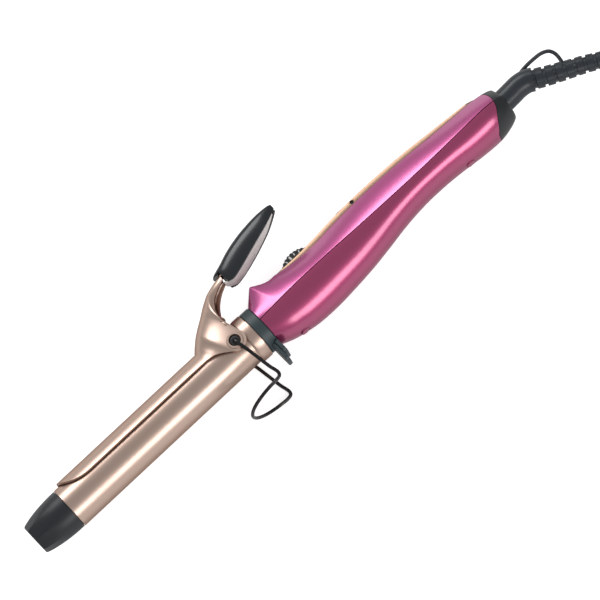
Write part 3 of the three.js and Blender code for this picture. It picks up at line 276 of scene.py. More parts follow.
def smooth_line(points, steps):
    """Centripetal curve through points, with so many steps between each pair."""
    points = [Vector(point) for point in points]
    line = []
    ends = [2 * points[0] - points[1], *points, 2 * points[-1] - points[-2]]
    for a, b, c, d in zip(ends, ends[1:], ends[2:], ends[3:]):
        t1 = (b - a).length ** 0.5
        t2 = t1 + (c - b).length ** 0.5
        t3 = t2 + (d - c).length ** 0.5
        for i in range(steps):
            t = t1 + (t2 - t1) * i / steps
            ab = a + (b - a) * t / t1
            bc = b + (c - b) * (t - t1) / (t2 - t1)
            cd = c + (d - c) * (t - t2) / (t3 - t2)
            abc = ab + (bc - ab) * t / t2
            bcd = bc + (cd - bc) * (t - t1) / (t3 - t1)
            line.append(abc + (bcd - abc) * (t - t1) / (t2 - t1))
    return [*line, points[-1]]


def smoothstep(value, low, high):
    share = min(1.0, max(0.0, (value - low) / (high - low)))
    return share * share * (3 - 2 * share)


def wire_curve(name, points, radius, material, steps):
    """A round wire along a line of points in millimetres."""
    curve = bpy.data.curves.new(name, "CURVE")
    curve.dimensions = "3D"
    curve.bevel_depth = radius * MM
    curve.bevel_resolution = steps
    curve.use_fill_caps = True
    run = curve.splines.new("POLY")
    run.points.add(len(points) - 1)
    for point, spot in zip(run.points, points):
        point.co = (*at(*spot), 1)
    curve.materials.append(material)
    return bpy.data.objects.new(name, curve)


boot_line = smooth_line([(HANDLE_END + BOOT_LENGTH * a, NECK_ACROSS - BOOT_DROP * d, 0)
                         for a, d in BOOT_LINE], steps=8)
heading = (boot_line[-1] - boot_line[-2]).normalized()
side = Vector((heading.y, -heading.x, 0))
straight = 2 * CORD_RADIUS
lying = (table_height - pivot.z) / MM + CORD_RADIUS + CORD_LIFT
route = [boot_line[-1] + heading * (LEAD_LENGTH * share + GAP) + Vector((0, 0, lying * drop))
         for share, drop in DROP]
entry = route[-1] + heading * (GAP + straight)
half_turns = COIL_TURNS / 2
coil_inner = COIL_RADIUS - COIL_PITCH * half_turns / 2
coil_outer = COIL_RADIUS + COIL_PITCH * half_turns / 2
coil_middle = entry - side * coil_outer


def round_coil(degrees, radius, height):
    turn = math.radians(degrees)
    point = coil_middle + side * radius * math.cos(turn) + heading * radius * math.sin(turn)
    point.z = height
    return point


route.append(entry - heading * straight / 2)
for i in range(COIL_STEPS * COIL_TURNS + 1):
    turn = i / COIL_STEPS
    climb = smoothstep(turn, half_turns - CLIMB_HALF, half_turns + CLIMB_HALF)
    route.append(round_coil(360 * turn, coil_inner + COIL_PITCH * abs(turn - half_turns),
                            lying + COIL_PITCH * climb))
coil_end = route[-1]
route += [coil_end + heading * straight * share for share in (0.5, 1, 1.5, 2)]
for i in range(1, TAIL_STEPS + 1):
    degrees = TAIL_START + (TAIL_END - TAIL_START) * i / TAIL_STEPS
    aside = (TAIL_ASIDE * smoothstep(degrees, *TAIL_LEAVES)
             + (PLUG_ASIDE - TAIL_ASIDE) * smoothstep(degrees, *PLUG_LEAVES))
    layer = COIL_PITCH * (1 - smoothstep(degrees, *TAIL_COMES_DOWN))
    rise = (PLUG_HALF_HEIGHT - CORD_RADIUS) * smoothstep(degrees, *PLUG_RISES)
    route.append(round_coil(degrees, coil_outer + aside, lying + layer + rise))
cord_path = smooth_line(route, steps=3)
cord_start, before_plug, cord_end = (at(*cord_path[k]) for k in (0, -2, -1))
cord = link(wire_curve("power_cord", cord_path, CORD_RADIUS, rubber("cord_jacket"), steps=6),
            "cord", "cord_black", "cord_lead", "cord_coil", "cord_tail")

# The plug is one rubber moulding that swells from the cord to a rounded grip with four
# finger grooves. Its two blades are pressed nickel-plated brass.
PLUG_LENGTH = 44.0
PLUG_HALF_WIDTH = 12.0
PLUG_SIDES = 64
PLUG_STEPS = 40
PLUG_SQUARENESS = 1.6
PLUG_WIDTHS = [(0, 0.36), (0.1, 0.4), (0.3, 0.45), (0.4, 0.7), (0.55, 0.95), (0.75, 1),
               (0.95, 0.97), (1, 0.88)]
PLUG_HEIGHTS = [(0, 0.5), (0.1, 0.56), (0.3, 0.62), (0.4, 0.8), (0.55, 0.97), (0.75, 1),
                (0.95, 0.97), (1, 0.9)]
GRIP_GROOVES = (0.47, 0.54, 0.61, 0.68)
GRIP_DEPTH = 0.6
GROOVE_SHARE = 0.02
BLADE_SPACING = 12.7
BLADE_THICKNESS = 1.5
BLADE_WIDTH = 6.3
BLADE_LENGTH = 17.0
BLADE_ROOT = 6.0
BLADE_TIP = 1.6
BLADE_TIP_THIN = 0.55
BLADE_TIP_NARROW = 0.7


def skin(rings, closed=False):
    """Faces over rings of equal count, with both ends closed, or joined into a loop."""
    count = len(rings[0])
    points = [point for ring in rings for point in ring]
    faces = []
    for k in range(len(rings) if closed else len(rings) - 1):
        for i in range(count):
            j = (i + 1) % count
            a, b = k * count, (k + 1) % len(rings) * count
            faces.append((a + i, b + i, b + j, a + j))
    if not closed:
        faces.append(tuple(range(count)))
        faces.append(tuple(range(len(points) - count, len(points)))[::-1])
    return points, faces


def mesh_of(name, *skins):
    points, faces = [], []
    for part_points, part_faces in skins:
        faces += [[corner + len(points) for corner in face] for face in part_faces]
        points += part_points
    mesh = bpy.data.meshes.new(name)
    mesh.from_pydata([at(*point) for point in points], [], faces)
    work = bmesh.new()
    work.from_mesh(mesh)
    bmesh.ops.recalc_face_normals(work, faces=work.faces)
    work.to_mesh(mesh)
    work.free()
    return mesh


def piece(name, shape, material, body, slot, *nodes, crease=30):
    """A dressed piece made from a closed skin or from a finished mesh."""
    mesh = mesh_of(name, shape) if isinstance(shape, tuple) else shape
    mesh.materials.clear()
    mesh.materials.append(material)
    mesh.shade_smooth()
    mesh.set_sharp_from_angle(angle=math.radians(crease))
    return link(bpy.data.objects.new(name, mesh), body, slot, *nodes)


def curve_at(table, share):
    """A smooth curve through [share, value] pairs, read at a share."""
    k = max(1, min(len(table) - 1, sum(share > place for place, _ in table)))
    (x0, y0), (x1, y1) = table[k - 1], table[k]
    before, after = table[max(0, k - 2)], table[min(len(table) - 1, k + 1)]
    slope0 = (y1 - before[1]) / (x1 - before[0])
    slope1 = (after[1] - y0) / (after[0] - x0)
    width = x1 - x0
    t = (share - x0) / width
    return ((2 * t ** 3 - 3 * t ** 2 + 1) * y0 + (t ** 3 - 2 * t ** 2 + t) * width * slope0
            + (3 * t ** 2 - 2 * t ** 3) * y1 + (t ** 3 - t ** 2) * width * slope1)


def circle(sides):
    """The cosine and the sine of each step round a circle."""
    return [(math.cos(a), math.sin(a)) for a in (2 * math.pi * i / sides for i in range(sides))]


plug_way = cord_end - before_plug
plug_way.z = 0
plug_way.normalize()
plug_side = Vector((-plug_way.y, plug_way.x, 0))
plug_seat = (cord_end - at(0)) / MM
plug_seat.z = (table_height - pivot.z) / MM + PLUG_HALF_HEIGHT + CORD_LIFT


def on_plug(along, across, up):
    return tuple(plug_seat + plug_way * along + plug_side * across + Vector((0, 0, up)))


rings = []
for k in range(PLUG_STEPS + 1):
    share = k / PLUG_STEPS
    width, height = curve_at(PLUG_WIDTHS, share), curve_at(PLUG_HEIGHTS, share)
    power = 2 + PLUG_SQUARENESS * width * share
    dip = GRIP_DEPTH * max(0, *(1 - abs(share - spot) / GROOVE_SHARE for spot in GRIP_GROOVES))
    ring = []
    for parts in circle(PLUG_SIDES):
        across, up = (math.copysign(abs(part) ** (2 / power), part) for part in parts)
        ring.append(on_plug(GAP + PLUG_LENGTH * share, (PLUG_HALF_WIDTH - dip) * width * across,
                            PLUG_HALF_HEIGHT * height * up))
    rings.append(ring)
plug_pieces = [piece("mains_plug", skin(rings), rubber("plug_moulding"), "cord", "cord_black",
                     "plug_body", crease=25)]
blade_nickel = Finish("plug_nickel", (190, 188, 182), roughness=0.24, metallic=1.0)
blade_marks = blade_nickel.noise(scale=300, stretch=(1, 8, 8))
blade_nickel.set("Roughness", 0.18 + blade_marks * 0.16)
for letter, sign in (("a", -1), ("b", 1)):
    middle = sign * BLADE_SPACING / 2
    rings = []
    for along, slim in ((-BLADE_ROOT, 1), (BLADE_LENGTH - BLADE_TIP, 1),
                        (BLADE_LENGTH, BLADE_TIP_THIN)):
        half_thick = BLADE_THICKNESS / 2 * slim
        half_wide = BLADE_WIDTH / 2 * (1 - BLADE_TIP_NARROW * (1 - slim))
        rings.append([on_plug(GAP + PLUG_LENGTH + along, middle + across * half_thick,
                              up * half_wide)
                      for across, up in ((-1, -1), (1, -1), (1, 1), (-1, 1))])
    plug_pieces.append(piece(f"plug_blade_{letter}", skin(rings), blade_nickel.material, "cord",
                             "plain_steel", f"plug_pin_{letter}"))

# The cool tip is a moulding of black heat-resistant plastic. It swells from a chamfered end
# to the barrel's size, has eight hollow grip flats, and plugs into the barrel's mouth.
BARREL_RADIUS = 12.5
BARREL_WALL = 1.0
TIP_LENGTH = 25.0
TIP_PLUG = 8.0
TIP_SIDES = 128
TIP_STEPS = 40
TIP_CROWDING = 1.5
TIP_FLATS = 8
TIP_FLAT_DEPTH = 0.035
FLATS_FADE = (0.3, 0.95)
TIP_OUTLINE = [(0, 0.69), (0.025, 0.74), (0.1, 0.79), (0.25, 0.86), (0.48, 0.935),
               (0.75, 0.98), (0.988, 0.99)]


def ring_at(along, radius, sides):
    return [(along, radius * c, radius * s) for c, s in circle(sides)]


inner_radius = BARREL_RADIUS - BARREL_WALL
rings = []
for k in range(TIP_STEPS + 1):
    share = TIP_OUTLINE[-1][0] * (k / TIP_STEPS) ** TIP_CROWDING
    fade = TIP_FLAT_DEPTH * smoothstep(1 - share, *FLATS_FADE)
    radius = BARREL_RADIUS * curve_at(TIP_OUTLINE, share)
    ring = []
    for i, (c, s) in enumerate(circle(TIP_SIDES)):
        hollow = math.sin(math.pi * ((TIP_FLATS * i / TIP_SIDES + 0.5) % 1))
        r = radius * (1 - 2 * fade * hollow)
        ring.append((TIP_LENGTH * (share - 1), r * c, r * s))
    rings.append(ring)
rings += [ring_at(along, inner_radius - GAP, TIP_SIDES) for along in (rings[-1][0][0], TIP_PLUG)]
tip_plastic = Finish("tip_plastic", (25, 29, 34), roughness=0.4)
tip_plastic.clouded((34, 39, 45), scale=60, rough=0.34, spread=0.14, power=2)
tip_plastic.bump(tip_plastic.noise(scale=1800, detail=2), strength=0.12, distance=0.05 * MM)
piece("tip_moulding", skin(rings), tip_plastic.material, "handle", "black_plastic", "cool_tip",
      crease=25)

# The barrel is a thin drawn tube, plated rose-champagne and left satin. Fine draw lines run
# along it. It has a cross hole for the pivot and a slot for the spring's leg.
BARREL_LENGTH = 140.0
BARREL_SIDES = 128
BARREL_LIP = 0.15
PIVOT_TUBE_RADIUS = 2.4
SLOT_HALF_WIDTH = 1.5
SLOT_LENGTH = 5.0
OVERRUN = 5.0
PLATING_WARMTH = (0.95, 0.93, 0.9)


def plated(name, color, roughness=0.33):
    """Satin plating with fine lines along it and a faint haze."""
    finish = Finish(name, color, roughness, metallic=1.0, Specular_Tint=(0.5, 0.42, 0.38, 1))
    lines = finish.noise(scale=2600, detail=2, stretch=(0.05, 1, 1))
    warm = [level * share for level, share in zip(color, PLATING_WARMTH)]
    finish.clouded(warm, scale=45, rough=roughness - 0.04 + lines * 0.03, spread=0.08,
                   power=2, share=0.6)
    finish.bump(lines, strength=0.06, distance=0.03 * MM)
    return finish.material


def turned(profile):
    return skin([ring_at(along, radius, BARREL_SIDES) for along, radius in profile], closed=True)


def pin(start, end, radius, sides=64):
    """A round bar between two points, also as a cutter."""
    start, end = Vector(start), Vector(end)
    axis = (end - start).normalized()
    first = axis.orthogonal().normalized()
    second = axis.cross(first)
    return skin([[tuple(centre + radius * (first * c + second * s)) for c, s in circle(sides)]
                 for centre in (start, end)])


def cross_pin(along, across, half, radius, sides=64):
    return pin((along, across, -half), (along, across, half), radius, sides)


def carved(shape, operation, *skins):
    """The shape after it is cut by, joined to or kept inside each closed skin in turn."""
    mesh = mesh_of("work", shape) if isinstance(shape, tuple) else shape
    for other in skins:
        target = bpy.data.objects.new("work", mesh)
        tool = bpy.data.objects.new("tool", mesh_of("tool", other))
        for thing in (target, tool):
            bpy.context.scene.collection.objects.link(thing)
        change = target.modifiers.new("change", "BOOLEAN")
        change.operation = operation
        change.solver = "EXACT"
        change.object = tool
        bpy.context.view_layer.update()
        graph = bpy.context.evaluated_depsgraph_get()
        mesh = bpy.data.meshes.new_from_object(target.evaluated_get(graph))
        tool_mesh = tool.data
        bpy.data.objects.remove(target)
        bpy.data.objects.remove(tool)
        bpy.data.meshes.remove(tool_mesh)
    return mesh


def skin_of(mesh):
    return ([tuple((vertex.co - at(0)) / MM) for vertex in mesh.vertices],
            [tuple(face.vertices) for face in mesh.polygons])


def block(low, high):
    return skin([[(x, low[1], low[2]), (x, high[1], low[2]), (x, high[1], high[2]),
                  (x, low[1], high[2])] for x in (low[0], high[0])])


reach = BARREL_RADIUS + OVERRUN
barrel_mesh = carved(
    turned([(0, inner_radius), (0, BARREL_RADIUS - BARREL_LIP), (BARREL_LIP, BARREL_RADIUS),
            (BARREL_LENGTH, BARREL_RADIUS), (BARREL_LENGTH, inner_radius)]),
    "DIFFERENCE", cross_pin(PIVOT_ALONG, 0, reach, PIVOT_TUBE_RADIUS + GAP),
    block((PIVOT_ALONG, inner_radius / 2, -SLOT_HALF_WIDTH),
          (PIVOT_ALONG + SLOT_LENGTH, reach, SLOT_HALF_WIDTH)))
champagne = plated("champagne_plating", (206, 181, 168))
piece("barrel_tube", barrel_mesh, champagne, "handle", "champagne_metal", "barrel")

# The ferrule is a plated ring over the barrel's root. Its front edge is rolled in and its
# rear edge has a small lip, as on the barrel.
COLLAR_START = 137.0
FERRULE_LENGTH = 6.2
FERRULE_RIM = 1.1
ferrule_bore = BARREL_RADIUS + GAP
ferrule_radius = ferrule_bore + FERRULE_RIM
ferrule_end = COLLAR_START - GAP
ferrule_start = ferrule_end - FERRULE_LENGTH
piece("ferrule_ring", turned([
    (ferrule_start, ferrule_bore), (ferrule_start, ferrule_radius - FERRULE_RIM / 2),
    (ferrule_start + FERRULE_RIM / 3, ferrule_radius - FERRULE_RIM / 5),
    (ferrule_start + FERRULE_RIM, ferrule_radius), (ferrule_end - BARREL_LIP, ferrule_radius),
    (ferrule_end, ferrule_radius - BARREL_LIP), (ferrule_end, ferrule_bore)]),
    champagne, "handle", "champagne_metal", "base_ferrule")

# The collar behind the ferrule is a grey heat-resistant moulding. Its heel tab of two
# stacked layers keeps fingers off the barrel, and its spigot sits in the handle.
COLLAR_RADIUS = 13.6
COLLAR_EDGE = 3 * BARREL_LIP
HANDLE_START = 143.5
SPIGOT_RADIUS = 10.6
SPIGOT_LENGTH = 6.5
SPIGOT_WALL = 2.6
WEB_WALL = 1.6
WEB_HOLE = 6.0
TAB_WALL = 2.2
TAB_HALF_WIDTH = 7.1
TAB_REACH = 20.8
TAB_STEP = 4.4
TAB_CORNER = 3.0
TAB_CORNER_STEPS = 8
TAB_EDGE = 0.3
collar_rear = HANDLE_START - GAP
seat = BARREL_LENGTH + GAP
spigot_end = HANDLE_START + SPIGOT_LENGTH
collar_mesh = mesh_of("front_collar", turned([
    (COLLAR_START, ferrule_bore), (COLLAR_START, COLLAR_RADIUS - COLLAR_EDGE),
    (COLLAR_START + COLLAR_EDGE, COLLAR_RADIUS), (collar_rear - COLLAR_EDGE, COLLAR_RADIUS),
    (collar_rear, COLLAR_RADIUS - COLLAR_EDGE), (collar_rear, SPIGOT_RADIUS),
    (spigot_end, SPIGOT_RADIUS), (spigot_end, SPIGOT_RADIUS - SPIGOT_WALL),
    (seat + WEB_WALL, SPIGOT_RADIUS - SPIGOT_WALL), (seat + WEB_WALL, WEB_HOLE),
    (seat, WEB_HOLE), (seat, ferrule_bore)]))


def tab_layer(start, half_width, length):
    """One layer of the heel tab, with round outer corners and a fine bevel."""
    outline = [(-ferrule_bore, half_width)]
    for corner in (1, -1):
        for k in range(TAB_CORNER_STEPS + 1):
            angle = math.pi / 2 * k / TAB_CORNER_STEPS
            down, out = (math.sin(angle), math.cos(angle))[::corner]
            outline.append((-(length - TAB_CORNER) - TAB_CORNER * down,
                            corner * (half_width - TAB_CORNER + TAB_CORNER * out)))
    outline.append((-ferrule_bore, -half_width))
    return skin([[(start + depth, -ferrule_bore + (y + ferrule_bore) * (1 - inset / length),
                   z * (1 - inset / half_width)) for y, z in outline]
                 for depth, inset in ((0, TAB_EDGE), (TAB_EDGE, 0), (TAB_WALL - TAB_EDGE, 0),
                                      (TAB_WALL, TAB_EDGE))])


tab_room = skin([ring_at(along, ferrule_bore, BARREL_SIDES)
                 for along in (COLLAR_START - OVERRUN, seat)])
for layer in (tab_layer(collar_rear - TAB_WALL, TAB_HALF_WIDTH, TAB_REACH),
              tab_layer(collar_rear - 2 * TAB_WALL, TAB_HALF_WIDTH - TAB_STEP / 3,
                        TAB_REACH + TAB_STEP)):
    collar_mesh = carved(collar_mesh, "UNION", skin_of(carved(layer, "DIFFERENCE", tab_room)))
collar_plastic = Finish("collar_plastic", (48, 62, 67), roughness=0.36)
collar_plastic.clouded((58, 72, 76), scale=80, rough=0.36, spread=0.14, power=2)
collar_plastic.bump(collar_plastic.noise(scale=1500, detail=2), strength=0.12, distance=0.05 * MM)
piece("collar_moulding", collar_mesh, collar_plastic.material, "handle", "grey_plastic",
      "front_collar")

# The handle is two glossy shells of magenta metallic plastic, screwed together along the
# seam. The upper one has nearly flat flanks, a crest and a crisp front crease, the lower one
# is a full round belly.
CREASE_ALONG = 157.7
CREASE_LEAN = 6.0
CREASE_FADE = 9
CREASE_ROUND = 0.7
HANDLE_HALF_WIDTH = 17.0
BELLY_DEPTH = 19.8
CREST_HEIGHT = 19.75
CREST_HALF_WIDTH = 8.0
HANDLE_WALL = 2.5
CREST_WALL_SHARE = 0.7
TAIL_DEPTH = 15.1
TAIL_HEIGHT = 12.6
TAIL_SLOPE = 18.875
TAIL_FALL = 0.27
FLANK_SHARE = 0.66
FLANK_FLATNESS = 0.28
FRONT_SWELL = 0.035
FRONT_STEPS = 12
SCOOP_DEPTH = 0.085
SCOOPS_PER_LENGTH = 12
CROWN_RISE = 0.07
CROWN_SHARE = 0.09
BELLY_START = 0.26
SEAM_HALF = 0.24
OUTER_COUNTS = (144, 90, 16)
INNER_COUNTS = (48, 24, 4)
WIDTHS = [0.91, 0.98, 1, 0.97, 0.925, 0.88, 0.845, 0.825, 0.825, 0.855, 0.9, 0.955, 0.93]
DEPTHS = [0.86, 0.975, 0.995, 0.95, 0.88, 0.77, 0.645, 0.565, 0.55, 0.59, 0.67, 0.7, 0.64]
CRESTS = [1, 0.755, 0.653, 0.638, 0.689, 0.724, 0.732, 0.719, 0.689, 0.643, 0.608, 0.585,
          0.57]
CREST_WIDTHS = [1, 0.985, 0.97, 0.95, 0.93, 0.91, 0.89, 0.87, 0.855, 0.84, 0.83, 0.82, 0.81]
CAP_LINE = [(0.63, 1), (0.37, 0.71), (0.33, 0.25), (0.44, -0.26), (0.63, -0.57),
            (0.87, -0.93), (1, -1.05)]
CREST_TOP = 0.25
BELLY_BOTTOM = 0.75
WHEEL_ALONG = 180.7
WHEEL_ACROSS = 6.1
WHEEL_RADIUS = 13.5
WHEEL_HALF_WIDTH = 3.5
WHEEL_ROOM = 0.9
WHEEL_SIDE_ROOM = 0.8
ROCKER_START = 213.5
ROCKER_LENGTH = 21.5
ROCKER_HALF_WIDTH = 4.4
ROOM_UNDER_ROCKER = 2.8
ROOM_OVER_ROCKER = 9.9
SCREWS = (157.6, 285.8)
HEAD_HOLE = 2.9
HEAD_DEPTH = 7


def through(values, share):
    """A smooth curve through evenly spaced values."""
    last = len(values) - 1
    reach = min(1.0, max(0.0, share)) * last
    k = min(int(reach), last - 1)
    a, b, c, d = (values[min(last, max(0, n))] for n in range(k - 1, k + 3))
    t = reach - k
    return b + 0.5 * t * (c - a + t * (2 * a - 5 * b + 4 * c - d + t * (3 * (b - c) + d - a)))


def handle_point(along, share, inset=0.0):
    """A point round the handle: across and up, from the seam over the crest to the belly."""
    first = CREASE_ALONG - CREASE_LEAN
    way = (along - first) / (HANDLE_END - first)
    tail = min(1.0, max(0.0, (along - HANDLE_END + TAIL_SLOPE) / TAIL_SLOPE))
    shoulder = 1 - TAIL_FALL * (1 - math.sqrt(1 - tail * tail))
    width = HANDLE_HALF_WIDTH * through(WIDTHS, way) * shoulder - inset
    depth = BELLY_DEPTH * through(DEPTHS, way) * shoulder - inset
    scoop = SCOOP_DEPTH * math.sin(math.pi * min(1.0, max(0.0, SCOOPS_PER_LENGTH * way)))
    crest = CREST_HEIGHT * (through(CRESTS, way) - scoop) * shoulder - inset
    flat = CREST_HALF_WIDTH * through(CREST_WIDTHS, way) * shoulder - CREST_WALL_SHARE * inset
    crown = CREST_HEIGHT * CROWN_RISE * max(0, 1 - way / CROWN_SHARE)
    if share > 0.5:
        angle = (share - 0.5) * 2 * math.pi
        return -depth * math.sin(angle), -width * math.cos(angle)
    sign = 1 if share < CREST_TOP else -1
    climb = 1 - abs(1 - share / CREST_TOP)
    if climb > FLANK_SHARE:
        inward = (1 - climb) / (1 - FLANK_SHARE)
        return crest + crown * (1 - inward * inward), sign * flat * inward
    t = climb / FLANK_SHARE
    bulge = width - FLANK_FLATNESS * (width - flat)
    return crest * t, sign * ((1 - t) ** 2 * width + 2 * t * (1 - t) * bulge + t * t * flat)


def crest_at(along):
    return handle_point(along, CREST_TOP)[0]


def belly_at(along):
    return handle_point(along, BELLY_BOTTOM)[0]


def handle_ring(along, lean, inset, sides):
    crest = handle_point(along, CREST_TOP, inset)[0]
    ring = []
    for i in range(sides):
        share = i / sides
        leaned = along - lean * max(0.0, handle_point(along, share, inset)[0] / crest)
        ring.append((leaned, *handle_point(leaned, share, inset)))
    return ring


def handle_front(sides):
    """The outer form ahead of the crease, which is rounded above the seam only."""
    front = [(x, up, across) for x, across, up in
             ring_at(HANDLE_START, COLLAR_RADIUS - GAP, sides)]
    crease = handle_ring(CREASE_ALONG, CREASE_LEAN, 0, sides)
    rings = []
    for k in range(FRONT_STEPS):
        share = k / FRONT_STEPS
        ring = []
        for low, high in zip(front, crease):
            x, y, z = (a + (b - a) * share for a, b in zip(low, high))
            belly = max(0.0, -math.sin(math.atan2(y, abs(z))))
            growth = 1 + FRONT_SWELL * 4 * share * (1 - share) * belly
            ring.append((x, y * growth, z * growth))
        rings.append(ring)
    swollen = rings[-1]
    after = handle_ring(CREASE_ALONG + CREASE_ROUND, CREASE_LEAN, 0, sides)
    for t in (0.0, 0.25, 0.5, 0.75):
        ring = []
        for corners in zip(front, swollen, crease, after):
            low, near, edge, high = map(Vector, corners)
            start = edge + (low - edge).normalized() * CREASE_ROUND
            rounded = start * (1 - t) ** 2 + 2 * t * (1 - t) * edge + t * t * high
            belly = near.lerp(high, BELLY_START + (1 - BELLY_START) * t)
            ring.append(tuple(rounded if edge.y > 0 else belly))
        rings.append(ring)
    return rings


def handle_form(inset, sides, steps, tail_steps):
    """The handle as one closed form, or what is hollow inside it when it is inset."""
    if inset:
        mouth = SPIGOT_RADIUS + GAP
        rings = [[(x, up, across) for x, across, up in ring_at(along, mouth, sides)]
                 for along in (HANDLE_START - OVERRUN, HANDLE_START + SPIGOT_LENGTH)]
        start, end, first_lean = CREASE_ALONG + CREASE_LEAN / 2, HANDLE_END - HANDLE_WALL / 2, 0.0
    else:
        rings = handle_front(sides)
        start, end, first_lean = CREASE_ALONG + CREASE_ROUND, HANDLE_END, CREASE_LEAN
    tail_start = HANDLE_END - TAIL_DEPTH
    for k in range(steps):
        share = k / steps
        lean = first_lean * max(0.0, 1 - CREASE_FADE * share)
        rings.append(handle_ring(start + (tail_start - start) * share, lean, inset, sides))
    for k in range(tail_steps + 1):
        share = math.sin(k / tail_steps * math.pi / 2)
        rings.append(handle_ring(tail_start + (end - tail_start) * share, 0, inset, sides))
    return skin(rings)


def ahead_of_cap(shift):
    line = smooth_line([(HANDLE_END - TAIL_DEPTH * a + shift, TAIL_HEIGHT * b, 0)
                        for a, b in CAP_LINE], steps=12)
    far = 2 * HANDLE_HALF_WIDTH
    front = HANDLE_START - 2 * OVERRUN
    outline = [(front, far), (line[0].x, far), *((p.x, p.y) for p in line),
               (line[-1].x, -far), (front, -far)]
    return skin([[(x, y, z) for x, y in outline] for z in (-far, far)])


def half_space(sign):
    far = 2 * BELLY_DEPTH
    low, high = sorted((sign * SEAM_HALF, sign * far))
    return block((HANDLE_START - OVERRUN, low, -far), (HANDLE_END + OVERRUN, high, far))


def wheel_room():
    return cross_pin(WHEEL_ALONG, WHEEL_ACROSS, WHEEL_HALF_WIDTH + WHEEL_SIDE_ROOM,
                     WHEEL_RADIUS + WHEEL_ROOM, sides=96)


rocker_pivot = ROCKER_START + ROCKER_LENGTH / 2


def rocker_room():
    middle = crest_at(rocker_pivot)
    half = ROCKER_HALF_WIDTH + GAP
    return block((ROCKER_START - 2 * GAP, middle - ROOM_UNDER_ROCKER, -half),
                 (ROCKER_START + ROCKER_LENGTH + GAP, middle + ROOM_OVER_ROCKER, half))


def metallic_lacquer(name, deep, bright):
    """Coloured plastic with metal flake under a clear coat."""
    finish = Finish(name, deep, 0.3, metallic=0.82, Coat_Weight=1.0, Coat_Roughness=0.22,
                    Coat_IOR=1.85, Specular_Tint=(0.6, 0.3, 0.45, 1))
    flake = finish.noise(scale=5200, detail=1)
    finish.clouded(bright, scale=30, detail=2, share=0.5)
    finish.set("Roughness", 0.28 + flake * 0.1)
    finish.bump(flake, strength=0.05, distance=0.02 * MM)
    return finish.material


outer_form = mesh_of("outer", handle_form(0, *OUTER_COUNTS))
hollow = handle_form(HANDLE_WALL, *INNER_COUNTS)
shell = carved(carved(outer_form, "DIFFERENCE", hollow), "INTERSECT", ahead_of_cap(0))
upper_mesh = carved(carved(shell.copy(), "INTERSECT", half_space(1)), "DIFFERENCE",
                    wheel_room(), rocker_room())
# Painted light: both shells are the same magenta plastic, but the upper one gets a lighter copy of
# the lacquer as a painted highlight for the light falling on its top.
upper_painted_lit_lacquer = metallic_lacquer("handle_upper_lacquer", (186, 66, 136), (198, 80, 148))
piece("upper_handle", upper_mesh, upper_painted_lit_lacquer, "handle", "handle_light",
      "handle_upper_shell", crease=9)
heads = [pin((x, -2 * BELLY_DEPTH, 0), (x, belly_at(x) + HEAD_DEPTH, 0), HEAD_HOLE)
         for x in SCREWS]
lower_mesh = carved(carved(shell, "INTERSECT", half_space(-1)), "DIFFERENCE", *heads)
# Painted shade: the lower shell, and the screw covers after it, get a deeper copy of the same
# lacquer.
lower_painted_shade_lacquer = metallic_lacquer("handle_lower_lacquer", (168, 32, 98), (180, 44, 110))
piece("lower_handle", lower_mesh, lower_painted_shade_lacquer, "handle", "handle_deep",
      "handle_lower_shell", crease=9)

# Two round covers hide the screw heads under the belly. They are turned from the handle's
# own magenta plastic and pressed in, standing a little proud with a rounded edge.
COVER_RADIUS = 2.7
COVER_PROUD = 0.4
COVER_HEIGHT = 2.2
COVER_EDGE = 0.25
COVER_SIDES = 48
CORNER = 0.3
for end, x in zip(("front", "rear"), SCREWS):
    rings = [[(x + radius * c, belly_at(x) + down, radius * s) for c, s in circle(COVER_SIDES)]
             for down, radius in (
                 (COVER_HEIGHT, COVER_RADIUS), (COVER_EDGE - COVER_PROUD, COVER_RADIUS),
                 (COVER_EDGE * CORNER - COVER_PROUD, COVER_RADIUS - COVER_EDGE * CORNER),
                 (-COVER_PROUD, COVER_RADIUS - COVER_EDGE))]
    piece(f"{end}_cover", skin(rings), lower_painted_shade_lacquer, "handle", "handle_deep",
          f"screw_cover_{end}")

# The rear cap is a black satin moulding behind the curved line, with the bore in which the
# strain relief turns.
NECK_RADIUS = 4.6
LIP_LENGTH = 2.0
NECK_WALL_ALONG = 309.1
RETAINER_RADIUS = 6.8


def black_satin(name, color=(24, 27, 30), roughness=0.34):
    finish = Finish(name, color, roughness)
    finish.clouded([level + 8 for level in color], scale=70, rough=roughness - 0.05,
                   spread=0.12, power=2, share=0.7)
    finish.bump(finish.noise(scale=1700, detail=2), strength=0.1, distance=0.04 * MM)
    return finish.material


lip_start = HANDLE_END - TAIL_DEPTH - LIP_LENGTH
far = 2 * BELLY_DEPTH
behind = block((lip_start, -far, -far), (HANDLE_END + OVERRUN, far, far))
cap_lip = carved(handle_form(HANDLE_WALL + GAP, *INNER_COUNTS), "INTERSECT", behind)
cap_mesh = carved(carved(outer_form, "INTERSECT", behind), "DIFFERENCE", ahead_of_cap(GAP))
cap_mesh = carved(carved(cap_mesh, "UNION", skin_of(cap_lip)), "DIFFERENCE", *(
    pin((lip_start - OVERRUN, NECK_ACROSS, 0), (end, NECK_ACROSS, 0), radius + GAP)
    for end, radius in ((HANDLE_END + OVERRUN, NECK_RADIUS),
                        (NECK_WALL_ALONG - GAP, RETAINER_RADIUS))))
piece("rear_cap", cap_mesh, black_satin("rear_cap_plastic"), "handle", "black_plastic",
      "end_cap", crease=12)

# The trim is a stamped strip of satin champagne metal along the crest, with a bright bevel
# on both edges and windows for the wheel and the rocker.
TRIM_START = 166.5
TRIM_END = 311.0
TRIM_HEIGHT = 3.3
TRIM_MARGIN = 1.0
TRIM_BEVEL = 0.8
TRIM_NOSE = 0.72
TRIM_NOSE_SPREAD = 9
TRIM_CROWN = 0.25
TRIM_STEPS = 96
TRUNNION_RADIUS = 0.8
TRUNNION_LENGTH = 1.2
TRIM_HEIGHTS = [0.3, 0.66, 0.93, 1, 1, 1, 1, 0.97, 0.92, 0.82, 0.66, 0.42]


